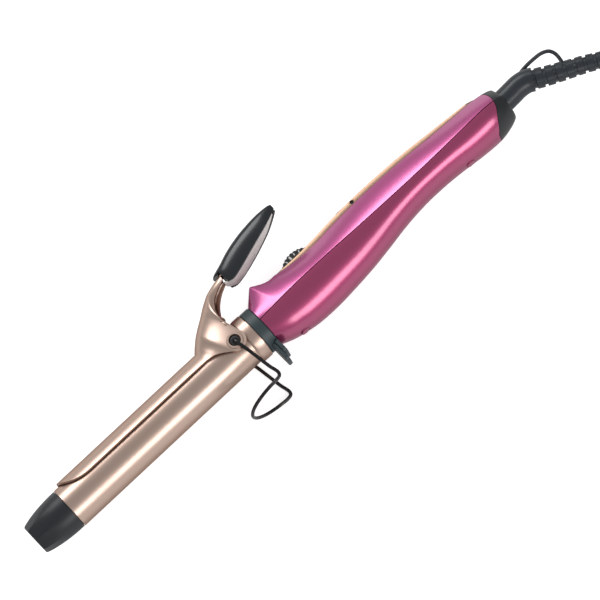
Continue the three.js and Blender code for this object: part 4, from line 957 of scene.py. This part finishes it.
def trim_top(along):
    share = (along - TRIM_START) / (TRIM_END - TRIM_START)
    return crest_at(along) + TRIM_HEIGHT * through(TRIM_HEIGHTS, share)


trunnion_height = crest_at(rocker_pivot) + TRIM_HEIGHT / 2
rings = []
for k in range(TRIM_STEPS + 1):
    share = k / TRIM_STEPS
    along = TRIM_START + (TRIM_END - TRIM_START) * share
    half = (handle_point(along, CREST_TOP * FLANK_SHARE)[1] - TRIM_MARGIN) * min(
        1, TRIM_NOSE + TRIM_NOSE_SPREAD * min(share, 1 - share))
    low, high = crest_at(along) + GAP, trim_top(along)
    edge = min(TRIM_BEVEL, (high - low) / 2)
    near = [(low, half), (high - edge, half), (high - edge * CORNER, half - edge * CORNER)]
    near += [(high + edge * TRIM_CROWN * (1 - s * s), (half - edge) * s)
             for s in (1, 0.75, 0.5, 0.25)]
    far_side = [(y, -z) for y, z in reversed(near)]
    rings.append([(along, y, z)
                  for y, z in (*near, (high + edge * TRIM_CROWN, 0), *far_side)])
trim_mesh = carved(skin(rings), "DIFFERENCE", wheel_room(), rocker_room(),
                   cross_pin(rocker_pivot, trunnion_height, CREST_HALF_WIDTH,
                             TRUNNION_RADIUS + GAP))
# Painted shade: the trim is the barrel's champagne metal, given a darker brown copy of the plating
# for how it darkens at a grazing angle.
piece("crest_trim", trim_mesh, plated("trim_plating_painted_shade", (164, 134, 114), 0.34), "handle",
      "champagne_metal", "top_trim", crease=24)

# The temperature wheel is a black moulding with knurls round its rim. Plain white ticks
# printed round both its faces mark its steps, every third one longer and broader.
WHEEL_RIDGES = 36
RIDGE_DEPTH = 0.35
RIDGE_OUTLINE = ((-0.3, 0), (0.14, 0), (0.22, 1), (0.62, 1))
WHEEL_BORE = 1.8
WHEEL_EDGE = 0.35
WHEEL_MARKS = 24
MARK_OUTER = 12.5
LONG_MARK_INNER = 10.3
LONG_MARK_HALF = 0.55
SHORT_MARK_INNER = 10.9
SHORT_MARK_HALF = 0.3
MARK_ROOT = 0.1
MARK_DEPTH = 0.03
rim = [(2 * math.pi * (i + offset) / WHEEL_RIDGES, WHEEL_RADIUS - RIDGE_DEPTH * low)
       for i in range(WHEEL_RIDGES) for offset, low in RIDGE_OUTLINE]
hub = Vector((WHEEL_ALONG, WHEEL_ACROSS, 0))
rings = [[(hub.x + (r - inset) * math.cos(a), hub.y + (r - inset) * math.sin(a), up)
          for a, r in rim]
         for up, inset in ((-WHEEL_HALF_WIDTH, WHEEL_EDGE), (WHEEL_EDGE - WHEEL_HALF_WIDTH, 0),
                           (WHEEL_HALF_WIDTH - WHEEL_EDGE, 0), (WHEEL_HALF_WIDTH, WHEEL_EDGE))]
rings += [[(hub.x + WHEEL_BORE * math.cos(a), hub.y + WHEEL_BORE * math.sin(a), up)
           for a, _ in rim] for up in (WHEEL_HALF_WIDTH, -WHEEL_HALF_WIDTH)]
piece("thumbwheel", skin(rings, closed=True), black_satin("wheel_plastic", (30, 33, 37), 0.4),
      "wheel", "black_plastic", "temperature_wheel", crease=20)
marks = []
for i in range(WHEEL_MARKS):
    middle = 2 * math.pi * (i + 0.5) / WHEEL_MARKS
    inner = SHORT_MARK_INNER if i % 3 else LONG_MARK_INNER
    half = SHORT_MARK_HALF if i % 3 else LONG_MARK_HALF
    outward = Vector((math.cos(middle), math.sin(middle), 0))
    sideways = Vector((-math.sin(middle), math.cos(middle), 0)) * half
    corners = [hub + outward * r + sideways * s
               for r, s in ((inner, -1), (MARK_OUTER, -1), (MARK_OUTER, 1), (inner, 1))]
    marks += [skin([[(corner.x, corner.y, sign * up) for corner in corners]
                    for up in (WHEEL_HALF_WIDTH - MARK_ROOT, WHEEL_HALF_WIDTH + MARK_DEPTH)])
              for sign in (1, -1)]
mark_paint = Finish("white_marking", (232, 232, 228), roughness=0.5)
mark_paint.set("Roughness", 0.45 + mark_paint.noise(scale=900, detail=2) * 0.15)
piece("wheel_marks", mesh_of("wheel_marks", *marks), mark_paint.material, "wheel",
      "black_plastic")

# The power rocker is a black gloss button in the trim's rear window. It rocks on two moulded
# pins, and its front end stands proud when it is off.
ROCKER_DEPTH = 3.2
ROCKER_PROUD = 0.9
ROCKER_BEVEL = 0.5
ROCKER_DIP = 0.35
ROCKER_STEPS = 28
rings = []
for k in range(ROCKER_STEPS + 1):
    share = k / ROCKER_STEPS
    along = ROCKER_START + ROCKER_LENGTH * share
    high = trim_top(along) + ROCKER_PROUD * (1 - share)
    ring = [(trim_top(rocker_pivot) - ROCKER_DEPTH, ROCKER_HALF_WIDTH)]
    ring += [(high - down * ROCKER_BEVEL, ROCKER_HALF_WIDTH - inset * ROCKER_BEVEL)
             for down, inset in ((1, 0), (CORNER, CORNER), (0, 1))]
    ring.append((high - ROCKER_DIP * math.sin(math.pi * share), ROCKER_HALF_WIDTH / 2))
    ring += [(y, -z) for y, z in reversed(ring)]
    rings.append([(along, y, z) for y, z in ring])
rocker_pin = cross_pin(rocker_pivot, trunnion_height, ROCKER_HALF_WIDTH + TRUNNION_LENGTH,
                       TRUNNION_RADIUS, sides=32)
piece("rocker_button", carved(skin(rings), "UNION", rocker_pin),
      black_satin("rocker_plastic", (34, 37, 42), 0.25), "rocker", "black_plastic",
      "power_rocker", crease=24)

# Two shouldered bushes of black plastic sit in the lever's ears on the pivot tube. The
# stand's wire ends turn in them.
PIVOT_BORE = 1.3
BUSH_RADIUS = 3.1
BUSH_EDGE = ((0.35, 0), (0.1, 0.12), (0, 0.4))
BUSH_SIDES = 64
EAR_HALF_SPAN = 16.1
EAR_RIM = 0.5


def disc_ring(up, radius, sides):
    """A ring round the clamp's pivot."""
    return [(PIVOT_ALONG + radius * c, radius * s, up) for c, s in circle(sides)]


bush_black = black_satin("bush_plastic", (24, 26, 29), 0.3)
bush_start, bush_end = BARREL_RADIUS + GAP / 3 + GAP, EAR_HALF_SPAN - GAP
profile = [(bush_start, PIVOT_BORE), (bush_start, BUSH_RADIUS),
           *((bush_end - back, BUSH_RADIUS - inset) for back, inset in BUSH_EDGE),
           (bush_end, PIVOT_BORE)]
for which, sign in (("near", 1), ("far", -1)):
    rings = [disc_ring(sign * up, radius, BUSH_SIDES) for up, radius in profile]
    piece(f"{which}_bush", skin(rings, closed=True), bush_black, "handle", "black_plastic",
          f"pivot_bush_{which}")

# The clamp and its lever are pressed from one plated sheet: a half-round shell over the
# barrel swells into two ears round the pivot and rises behind them to a neck and a tongue.
SHEET = 1.3
CLAMP_LIFT = 0.6
CLAMP_MOUTH = 3.5
NOSE_LENGTH = 20.5
NOSE_POWER = 2.5
NOSE_TIP = 0.16
SHELL_ANGLE = math.radians(75)
LEVER_START = 105.0
LEVER_LENGTH = 40.0
LEVER_RISE = 24.2
EAR_RADIUS = 6.4
EAR_SQUARENESS = 0.7
FLAT_EAR = EAR_HALF_SPAN * 0.985
RIM_RADIUS = 4.8
RIM_OUTLINE = ((0, 0), (0.6, 0.25), (1, 1))
RIM_SIDES = 72
TONGUE_HALF_WIDTH = 3.0
TONGUE_LENGTH = 19.0
TONGUE_ROOT = 1.6
TONGUE_SLOPE = math.tan(math.radians(15))
NOSE_ROWS = 28
SHELL_ROWS = 8
LEVER_STEPS = 6
EAR_STATIONS = 3
CLAMP_COLUMNS = 80
SPINE = [(0, 0), (0.05, 0.091), (0.1125, 0.182), (0.1875, 0.285), (0.2625, 0.38),
         (0.3375, 0.463), (0.4125, 0.545), (0.475, 0.616), (0.5375, 0.682), (0.6125, 0.752),
         (0.675, 0.814), (0.7625, 0.88), (0.875, 0.946), (1, 1)]
FRONT_EDGE = [(-0.4625, 0.152), (-0.325, 0.095)]
EAR_TURNS = [-150, -115, -80, -42, -5, 32]
REAR_EDGE = [(0.085, 0.372), (0.075, 0.64), (0.1075, 0.9), (0.2125, 1.165), (0.35, 1.33),
             (0.4875, 1.43)]
SPANS = [0.848, 0.89, 0.975, 1, 1, 1, 1, 1, 0.988, 0.915, 0.78, 0.561, 0.39, 0.305]
shell_radius = BARREL_RADIUS + CLAMP_LIFT + SHEET


def pressed_row(spine, edge, half_span, angle, power):
    """One row of the sheet, bent from its spine down to both edges."""
    reach, span = math.cos(angle) ** (2 / power), math.sin(angle) ** (2 / power)
    row = []
    for i in range(CLAMP_COLUMNS + 1):
        turn = (2 * i / CLAMP_COLUMNS - 1) * angle
        drop = (1 - max(0.0, math.cos(turn)) ** (2 / power)) / (1 - reach)
        up = math.copysign(half_span * abs(math.sin(turn)) ** (2 / power) / span, turn)
        row.append(Vector((spine[0] + (edge[0] - spine[0]) * drop,
                           spine[1] + (edge[1] - spine[1]) * drop, up)))
    return row


def shell_row(along, angle):
    return pressed_row((along, shell_radius), (along, shell_radius * math.cos(angle)),
                       shell_radius * math.sin(angle), angle, 2)


def edge_at(shares):
    return PIVOT_ALONG + LEVER_LENGTH * shares[0], LEVER_RISE * shares[1], 0


grid = []
for k in range(NOSE_ROWS):
    share = (k / NOSE_ROWS) ** 2
    opening = (1 - (1 - share) ** NOSE_POWER) ** (1 / NOSE_POWER)
    grid.append(shell_row(CLAMP_MOUTH + NOSE_LENGTH * share,
                          SHELL_ANGLE * max(NOSE_TIP, opening)))
nose_end = CLAMP_MOUTH + NOSE_LENGTH
for k in range(SHELL_ROWS):
    grid.append(shell_row(nose_end + (LEVER_START - nose_end) * k / SHELL_ROWS, SHELL_ANGLE))
ear_edge = [(PIVOT_ALONG + EAR_RADIUS * math.cos(math.radians(turn)),
             EAR_RADIUS * math.sin(math.radians(turn)), 0) for turn in EAR_TURNS]
edges = smooth_line([*map(edge_at, FRONT_EDGE), *ear_edge, *map(edge_at, REAR_EDGE)],
                    LEVER_STEPS)
spine_line = smooth_line([(LEVER_START + LEVER_LENGTH * a, shell_radius + LEVER_RISE * r, 0)
                          for a, r in SPINE], LEVER_STEPS)
for k, (spine, edge) in enumerate(zip(spine_line, edges)):
    station = k / LEVER_STEPS
    bend = smoothstep(station, 0, EAR_STATIONS)
    grid.append(pressed_row(spine, edge,
                            EAR_HALF_SPAN * through(SPANS, station / (len(SPANS) - 1)),
                            SHELL_ANGLE + (math.pi / 2 - SHELL_ANGLE) * bend,
                            2 + EAR_SQUARENESS * bend))


def inside_of(grid, thickness):
    """The sheet's inner side. On the flat ears it lies straight inwards of the outer one."""
    rows, columns = len(grid), len(grid[0])
    inner = []
    for k in range(rows):
        row = []
        for i in range(columns):
            along = grid[min(k + 1, rows - 1)][i] - grid[max(k - 1, 0)][i]
            across = grid[k][min(i + 1, columns - 1)] - grid[k][max(i - 1, 0)]
            outward = across.cross(along).normalized()
            if abs(grid[k][i].z) > FLAT_EAR:
                outward = Vector((0, 0, math.copysign(1, grid[k][i].z)))
            row.append(grid[k][i] - outward * thickness)
        inner.append(row)
    return inner


def sheet_skin(outer, inner):
    """A closed sheet between a grid of outer points and its inner one."""
    rows, columns = len(outer), len(outer[0])
    points = [tuple(point) for row in (*outer, *inner) for point in row]
    size = rows * columns
    faces = []
    for k in range(rows - 1):
        for i in range(columns - 1):
            a, d = k * columns + i, (k + 1) * columns + i
            faces += [(a, a + 1, d + 1, d), (size + a, size + d, size + d + 1, size + a + 1)]
    for i in range(columns - 1):
        last = (rows - 1) * columns + i
        faces += [(i, size + i, size + i + 1, i + 1),
                  (last, last + 1, size + last + 1, size + last)]
    for k in range(rows - 1):
        first, end = k * columns, (k + 1) * columns - 1
        faces += [(first, first + columns, size + first + columns, size + first),
                  (end, size + end, size + end + columns, end + columns)]
    return points, faces


rims = []
for sign in (-1, 1):
    rings = [disc_ring(sign * (EAR_HALF_SPAN - SHEET / 2), RIM_RADIUS, RIM_SIDES)]
    rings += [disc_ring(sign * (EAR_HALF_SPAN + EAR_RIM * out), RIM_RADIUS - EAR_RIM * inset,
                        RIM_SIDES) for out, inset in RIM_OUTLINE]
    rims.append(skin(rings))
clamp_mesh = carved(sheet_skin(grid, inside_of(grid, SHEET)), "UNION", *rims)
clamp_mesh = carved(clamp_mesh, "DIFFERENCE", cross_pin(
    PIVOT_ALONG, 0, EAR_HALF_SPAN + OVERRUN, BUSH_RADIUS + GAP, RIM_SIDES))
root_x = LEVER_START + LEVER_LENGTH - TONGUE_ROOT
root_y = shell_radius + LEVER_RISE - TONGUE_ROOT * TONGUE_SLOPE - SHEET / 3
thin = SHEET / 1.5
rise = TONGUE_LENGTH * TONGUE_SLOPE
tongue = skin([[(root_x, root_y, z), (root_x + TONGUE_LENGTH, root_y + rise, z),
                (root_x + TONGUE_LENGTH, root_y + rise - thin, z), (root_x, root_y - thin, z)]
               for z in (-TONGUE_HALF_WIDTH, TONGUE_HALF_WIDTH)])
piece("pressed_clamp", carved(clamp_mesh, "UNION", tongue), champagne, "lever",
      "champagne_metal", "clamp", crease=24)

# The thumb cap is a deep leaf-shaped moulding of glossy black plastic, pushed over the
# lever's tongue with a slot below for its neck.
CAP_START = 141.5
CAP_LENGTH = 51.0
CAP_TOP = 50.0
CAP_HALF_WIDTH = 7.5
CAP_WALL = 1.5
CAP_POWER = 3.6
CAP_ROWS = 72
CAP_COLUMNS = 64
NECK_ROOM = 1.2
NECK_RISE = 1.0
ALONGS = [0, 0.03, 0.09, 0.167, 0.3, 0.48, 0.657, 0.814, 0.951, 1]
RIMS = [0.69, 0.66, 0.628, 0.612, 0.64, 0.696, 0.756, 0.816, 0.884, 0.915]
TOPS = [0.8, 0.82, 0.838, 0.862, 0.912, 0.958, 0.986, 1, 0.998, 0.985]
CAP_WIDTHS = [0.33, 0.56, 0.75, 0.88, 0.973, 1, 0.893, 0.707, 0.427, 0.29]


def cap_at(share):
    """Along, rim, top and half width of the thumb cap."""
    return (CAP_START + CAP_LENGTH * through(ALONGS, share), CAP_TOP * through(RIMS, share),
            CAP_TOP * through(TOPS, share), CAP_HALF_WIDTH * through(CAP_WIDTHS, share))


def cap_row(share, wall):
    along, rim_at, top, half = cap_at(share)
    row = []
    for j in range(CAP_COLUMNS + 1):
        turn = (j / CAP_COLUMNS - 0.5) * math.pi
        rise = max(0.0, math.cos(turn)) ** (2 / CAP_POWER)
        up = math.copysign((half - wall) * abs(math.sin(turn)) ** (2 / CAP_POWER), turn)
        row.append(Vector((along + wall * (1 - 2 * share),
                           rim_at + (top - wall - rim_at) * rise, up)))
    return row


grids = [[cap_row(i / CAP_ROWS, wall) for i in range(CAP_ROWS + 1)] for wall in (0, CAP_WALL)]
room_half = CAP_HALF_WIDTH - CAP_WALL - GAP
cap_room = block((CAP_START - OVERRUN, 0, -room_half), (
    LEVER_START + LEVER_LENGTH + NECK_ROOM, shell_radius + LEVER_RISE + NECK_RISE, room_half))
thumb_gloss = Finish("thumb_plastic", (20, 26, 32), roughness=0.2, Specular_IOR_Level=0.55)
thumb_gloss.clouded((27, 33, 38), scale=60, detail=2, rough=0.16, spread=0.08)
piece("thumb_pad", carved(sheet_skin(*grids), "DIFFERENCE", cap_room), thumb_gloss.material,
      "lever", "black_plastic", "thumb_cap", crease=35)

# A pale satin metal plate closes the thumb cap from below. It is stamped to the cap's own
# outline, with two small slots near its far rim.
PLATE_FROM = 0.13
PLATE_TO = 0.92
PLATE_WALL = 1.2
SLOT_PLACES = (0.16, 0.42)
SLOT_ASIDE = -2.6
SLOT_ACROSS = 1.0
SLOT_ALONG = 5.3
rings = []
for i in range(CAP_ROWS + 1):
    share = PLATE_FROM + (PLATE_TO - PLATE_FROM) * i / CAP_ROWS
    along, rim_at, _, half = cap_at(share)
    place = along + CAP_WALL * (1 - 2 * share)
    side_at = half - CAP_WALL - GAP
    rings.append([(place, rim_at, side_at), (place, rim_at + PLATE_WALL, side_at - GAP),
                  (place, rim_at + PLATE_WALL, GAP - side_at), (place, rim_at, -side_at)])
slots = [block((CAP_START + CAP_LENGTH * share, 0, SLOT_ASIDE - SLOT_ACROSS / 2),
               (CAP_START + CAP_LENGTH * share + SLOT_ALONG, CAP_TOP,
                SLOT_ASIDE + SLOT_ACROSS / 2)) for share in SLOT_PLACES]
plate_satin = Finish("pale_satin_plate", (252, 250, 246), roughness=0.3, metallic=0.1)
plate_satin.clouded((250, 248, 244), scale=70, rough=0.26, spread=0.1)
piece("thumb_plate", carved(skin(rings), "DIFFERENCE", *slots), plate_satin.material, "lever",
      "pale_champagne", "thumb_insert", crease=20)

# The clamp's torsion spring is plain steel wire, wound four times round the pivot tube, with
# one leg in the barrel and one up through the slot under the lever.
SPRING_WIRE = 0.6
WINDS = 4.125
WIND_PITCH = 1.8
WIND_ROOM = 0.4
WIND_START = -math.pi / 4
WIND_STEPS = 33
LOW_LEG = 8.0
HIGH_LEG = 23.5
HIGH_LEG_LINE = ((0.153, 0.97), (0.391, 0.22), (0.596, 0), (0.809, 0), (1, 0))
steel = plated("plain_steel", (176, 176, 174), 0.3)
wind_radius = PIVOT_TUBE_RADIUS + SPRING_WIRE + WIND_ROOM
wind_half = WINDS * WIND_PITCH / 2
first_c, first_s = math.cos(WIND_START), math.sin(WIND_START)
spring_line = [(PIVOT_ALONG + wind_radius * first_c + back * first_s,
                wind_radius * first_s - back * first_c, -wind_half)
               for back in (LOW_LEG, LOW_LEG / 2)]
for i in range(WIND_STEPS + 1):
    angle = WIND_START + WINDS * 2 * math.pi * i / WIND_STEPS
    spring_line.append((PIVOT_ALONG + wind_radius * math.cos(angle),
                        wind_radius * math.sin(angle), wind_half * (2 * i / WIND_STEPS - 1)))
spring_line += [(PIVOT_ALONG + wind_radius, HIGH_LEG * share, wind_half * lean)
                for share, lean in HIGH_LEG_LINE]
spring_path = smooth_line(spring_line, steps=4)
link(wire_curve("torsion_spring", spring_path, SPRING_WIRE, steel, steps=5), "handle",
     "plain_steel", "clamp_spring")

# The stand is one length of black-nickel plated wire. Its ends turn in the pivot, its legs
# run down both sides, and its foot is a half ellipse that lies ahead of them.
WIRE_RADIUS = 1.0
WIRE_END = 0.57
STAND_REACH = 33.1
LEG_SLANT = 4.4
FOOT_REACH = 24.9
FOOT_STEPS = 7
FOOT_OFFSET = 0.6
FOOT_SWEEP = 0.93
BEND = 1.8
FOOT_BEND = 2.4
stand_half = EAR_HALF_SPAN + EAR_RIM + GAP + WIRE_RADIUS
leg = [(0, 0, stand_half * WIRE_END), (0, 0, (stand_half * (1 + WIRE_END) - BEND) / 2),
       (0, 0, stand_half - BEND), (0, -BEND * CORNER, stand_half - BEND * CORNER),
       (0, -BEND, stand_half)]
leg += [(LEG_SLANT * share, -STAND_REACH * share, stand_half) for share in (0.25, 0.5, 0.75)]
leg += [(LEG_SLANT, FOOT_BEND - STAND_REACH, stand_half),
        (LEG_SLANT - FOOT_BEND * CORNER, FOOT_BEND * CORNER - STAND_REACH, stand_half)]
for i in range(FOOT_STEPS):
    share = (i + FOOT_OFFSET) / (FOOT_STEPS - 1 + FOOT_OFFSET)
    angle = share * math.pi / 2 * FOOT_SWEEP
    leg.append((LEG_SLANT - FOOT_REACH * math.sin(angle), -STAND_REACH,
                stand_half * math.cos(angle)))
stand_line = [*leg, (LEG_SLANT - FOOT_REACH, -STAND_REACH, 0),
              *((x, y, -z) for x, y, z in reversed(leg))]
dark_wire = Finish("black_nickel", (56, 56, 58), roughness=0.14, metallic=1.0)
dark_wire.clouded((82, 80, 79), scale=140, rough=0.1, spread=0.12, power=2)
stand_path = smooth_line([(PIVOT_ALONG + x, y, z) for x, y, z in stand_line], steps=8)
link(wire_curve("bent_stand", stand_path, WIRE_RADIUS, dark_wire.material, steps=7), "stand",
     "dark_wire", "stand_wire")

# The strain relief is one black rubber moulding: a grooved neck in the cap, a smooth elbow,
# and a ribbed tail that thins towards the cord, with a hanging loop along its back.
BOOT_RADIUS = 6.7
BOOT_END_RADIUS = 4.5
BOOT_SIDES = 48
GROOVE_DEPTH = 0.8
RETAINER_WIDTH = 2.4
NECK_TIP = 1.4
CHAMFER = 0.5
SMOOTH_LENGTH = 21.5
SMOOTH_STEPS = 24
RIB_PITCH = 5.75
RIB_GROOVE = 1.5
RIB_DEPTH = 1.1
RIB_START = 5.8
RIB_EDGE = 0.25
RIB_MIDDLE = 0.7
WEB_TURN = 24
WEB_SHARE = 0.86
WEB_FADE = 0.1
WEB_SINK = 0.2
LOOP_WIRE = 1.1
LOOP_SIDES = 20
LOOP = [(0.228, 0.044), (0.2735, 0.078), (0.3456, 0.09), (0.4265, 0.09), (0.507, 0.081),
        (0.562, 0.05), (0.582, 0), (0.578, -0.059), (0.562, -0.125)]
travelled = [0.0]
for a, b in zip(boot_line, boot_line[1:]):
    travelled.append(travelled[-1] + (b - a).length)
boot_length = travelled[-1]


def boot_spot(distance):
    """The place and the heading on the boot's middle line, so far from the rear cap."""
    reached = max(0.0, min(boot_length, distance))
    k = min(max(1, sum(spot < reached for spot in travelled)), len(boot_line) - 1)
    share = (reached - travelled[k - 1]) / (travelled[k] - travelled[k - 1])
    before = boot_line[k] - boot_line[k - 1]
    after = boot_line[min(k + 1, len(boot_line) - 1)] - boot_line[min(k, len(boot_line) - 2)]
    way = Vector((1, 0, 0)) if distance <= 0 else before.lerp(after, share).normalized()
    spot = boot_line[k - 1].lerp(boot_line[k], share)
    spot.x += min(0.0, distance)
    return spot, way


def tube_ring(spot, way, radii):
    """A ring square to a level line, with a radius for each of its corners."""
    aside = Vector((-way.y, way.x, 0))
    return [tuple(spot + aside * radius * c + Vector((0, 0, radius * s)))
            for radius, (c, s) in zip(radii, circle(len(radii)))]


groove_start = NECK_WALL_ALONG - 3 * GAP - RETAINER_WIDTH - HANDLE_END
groove_end = groove_start + RETAINER_WIDTH + 2 * GAP
neck_start = groove_start - NECK_TIP
groove_radius = NECK_RADIUS - GROOVE_DEPTH
stations = [(neck_start, NECK_RADIUS - CHAMFER), (neck_start + CHAMFER, NECK_RADIUS),
            (groove_start, NECK_RADIUS), (groove_start, groove_radius),
            (groove_end, groove_radius), (groove_end, NECK_RADIUS), (GAP, NECK_RADIUS),
            (GAP, BOOT_RADIUS - CHAMFER), (GAP + CORNER * CHAMFER, BOOT_RADIUS - CORNER * CHAMFER)]
smooth_start = GAP + CHAMFER
stations += [(smooth_start + (SMOOTH_LENGTH - smooth_start) * i / SMOOTH_STEPS, BOOT_RADIUS)
             for i in range(SMOOTH_STEPS + 1)]
sections = [(distance, [radius] * BOOT_SIDES) for distance, radius in stations]
rib_count = int((boot_length - SMOOTH_LENGTH) / RIB_PITCH)
for i in range(rib_count):
    start = SMOOTH_LENGTH + i * RIB_PITCH
    radius = RIB_START + (BOOT_END_RADIUS - RIB_START) * i / (rib_count - 1)
    groove = []
    for j in range(BOOT_SIDES):
        a = 2 * math.pi * j / BOOT_SIDES - math.radians(WEB_TURN if i % 2 else -WEB_TURN)
        web = smoothstep(abs(math.sin(a)), WEB_SHARE - WEB_FADE, WEB_SHARE + WEB_FADE)
        groove.append(radius - RIB_DEPTH * (1 - web) - WEB_SINK * web)
    sections += [(start, groove), (start + RIB_GROOVE, groove)]
    sections += [(start + distance, [radius - low] * BOOT_SIDES) for distance, low in (
        (RIB_GROOVE, RIB_EDGE), (RIB_GROOVE + RIB_EDGE, 0), (RIB_PITCH / 2 + RIB_MIDDLE, 0),
        (RIB_PITCH - RIB_EDGE, 0), (RIB_PITCH, RIB_EDGE))]
sections.append((boot_length, [BOOT_END_RADIUS] * BOOT_SIDES))
loop_line = smooth_line([(HANDLE_END + BOOT_LENGTH * a, NECK_ACROSS + BOOT_LENGTH * r, 0)
                         for a, r in LOOP], steps=6)
ways = [(after - before).normalized() for before, after in zip(
    [loop_line[0], *loop_line], [*loop_line[1:], loop_line[-1]])]
loop_rings = [tube_ring(spot, way, [LOOP_WIRE] * LOOP_SIDES)
              for spot, way in zip(loop_line, ways)]
boot_mesh = carved(skin([tube_ring(*boot_spot(distance), radii) for distance, radii in sections]),
                   "UNION", skin(loop_rings))
piece("strain_relief", boot_mesh, rubber("boot_rubber", (38, 44, 51), 0.34), "cord",
      "cord_black", "swivel_boot", crease=28)

# What the housing holds is plainly finished: a ceramic heater core, a steel pivot tube,
# axle, screws and retaining ring, and a green coated board.
ceramic = Finish("fired_ceramic", (226, 221, 208), roughness=0.75)
ceramic.clouded((204, 198, 184), scale=160, detail=4)
ceramic.bump(ceramic.noise(scale=1400, detail=3), strength=0.2, distance=0.05 * MM)
board = Finish("coated_board", (40, 92, 62), roughness=0.38)
threads = [board.noise(scale=900, detail=1, stretch=stretch) * 0.5
           for stretch in ((1, 0.1, 1), (0.1, 1, 1))]
weave = threads[0] + threads[1]
board.set("Base Color", board.blend(weave, board.color, linear(54, 110, 76)))
board.bump(weave, strength=0.1, distance=0.03 * MM)
hidden = {"heater_core": ceramic.material, "control_board": board.material}
for node in ("pivot_tube", "wheel_axle", "screw_front", "screw_rear", "swivel_retainer"):
    hidden[node] = steel
for node, material in hidden.items():
    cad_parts[node].material_slots[0].material = material
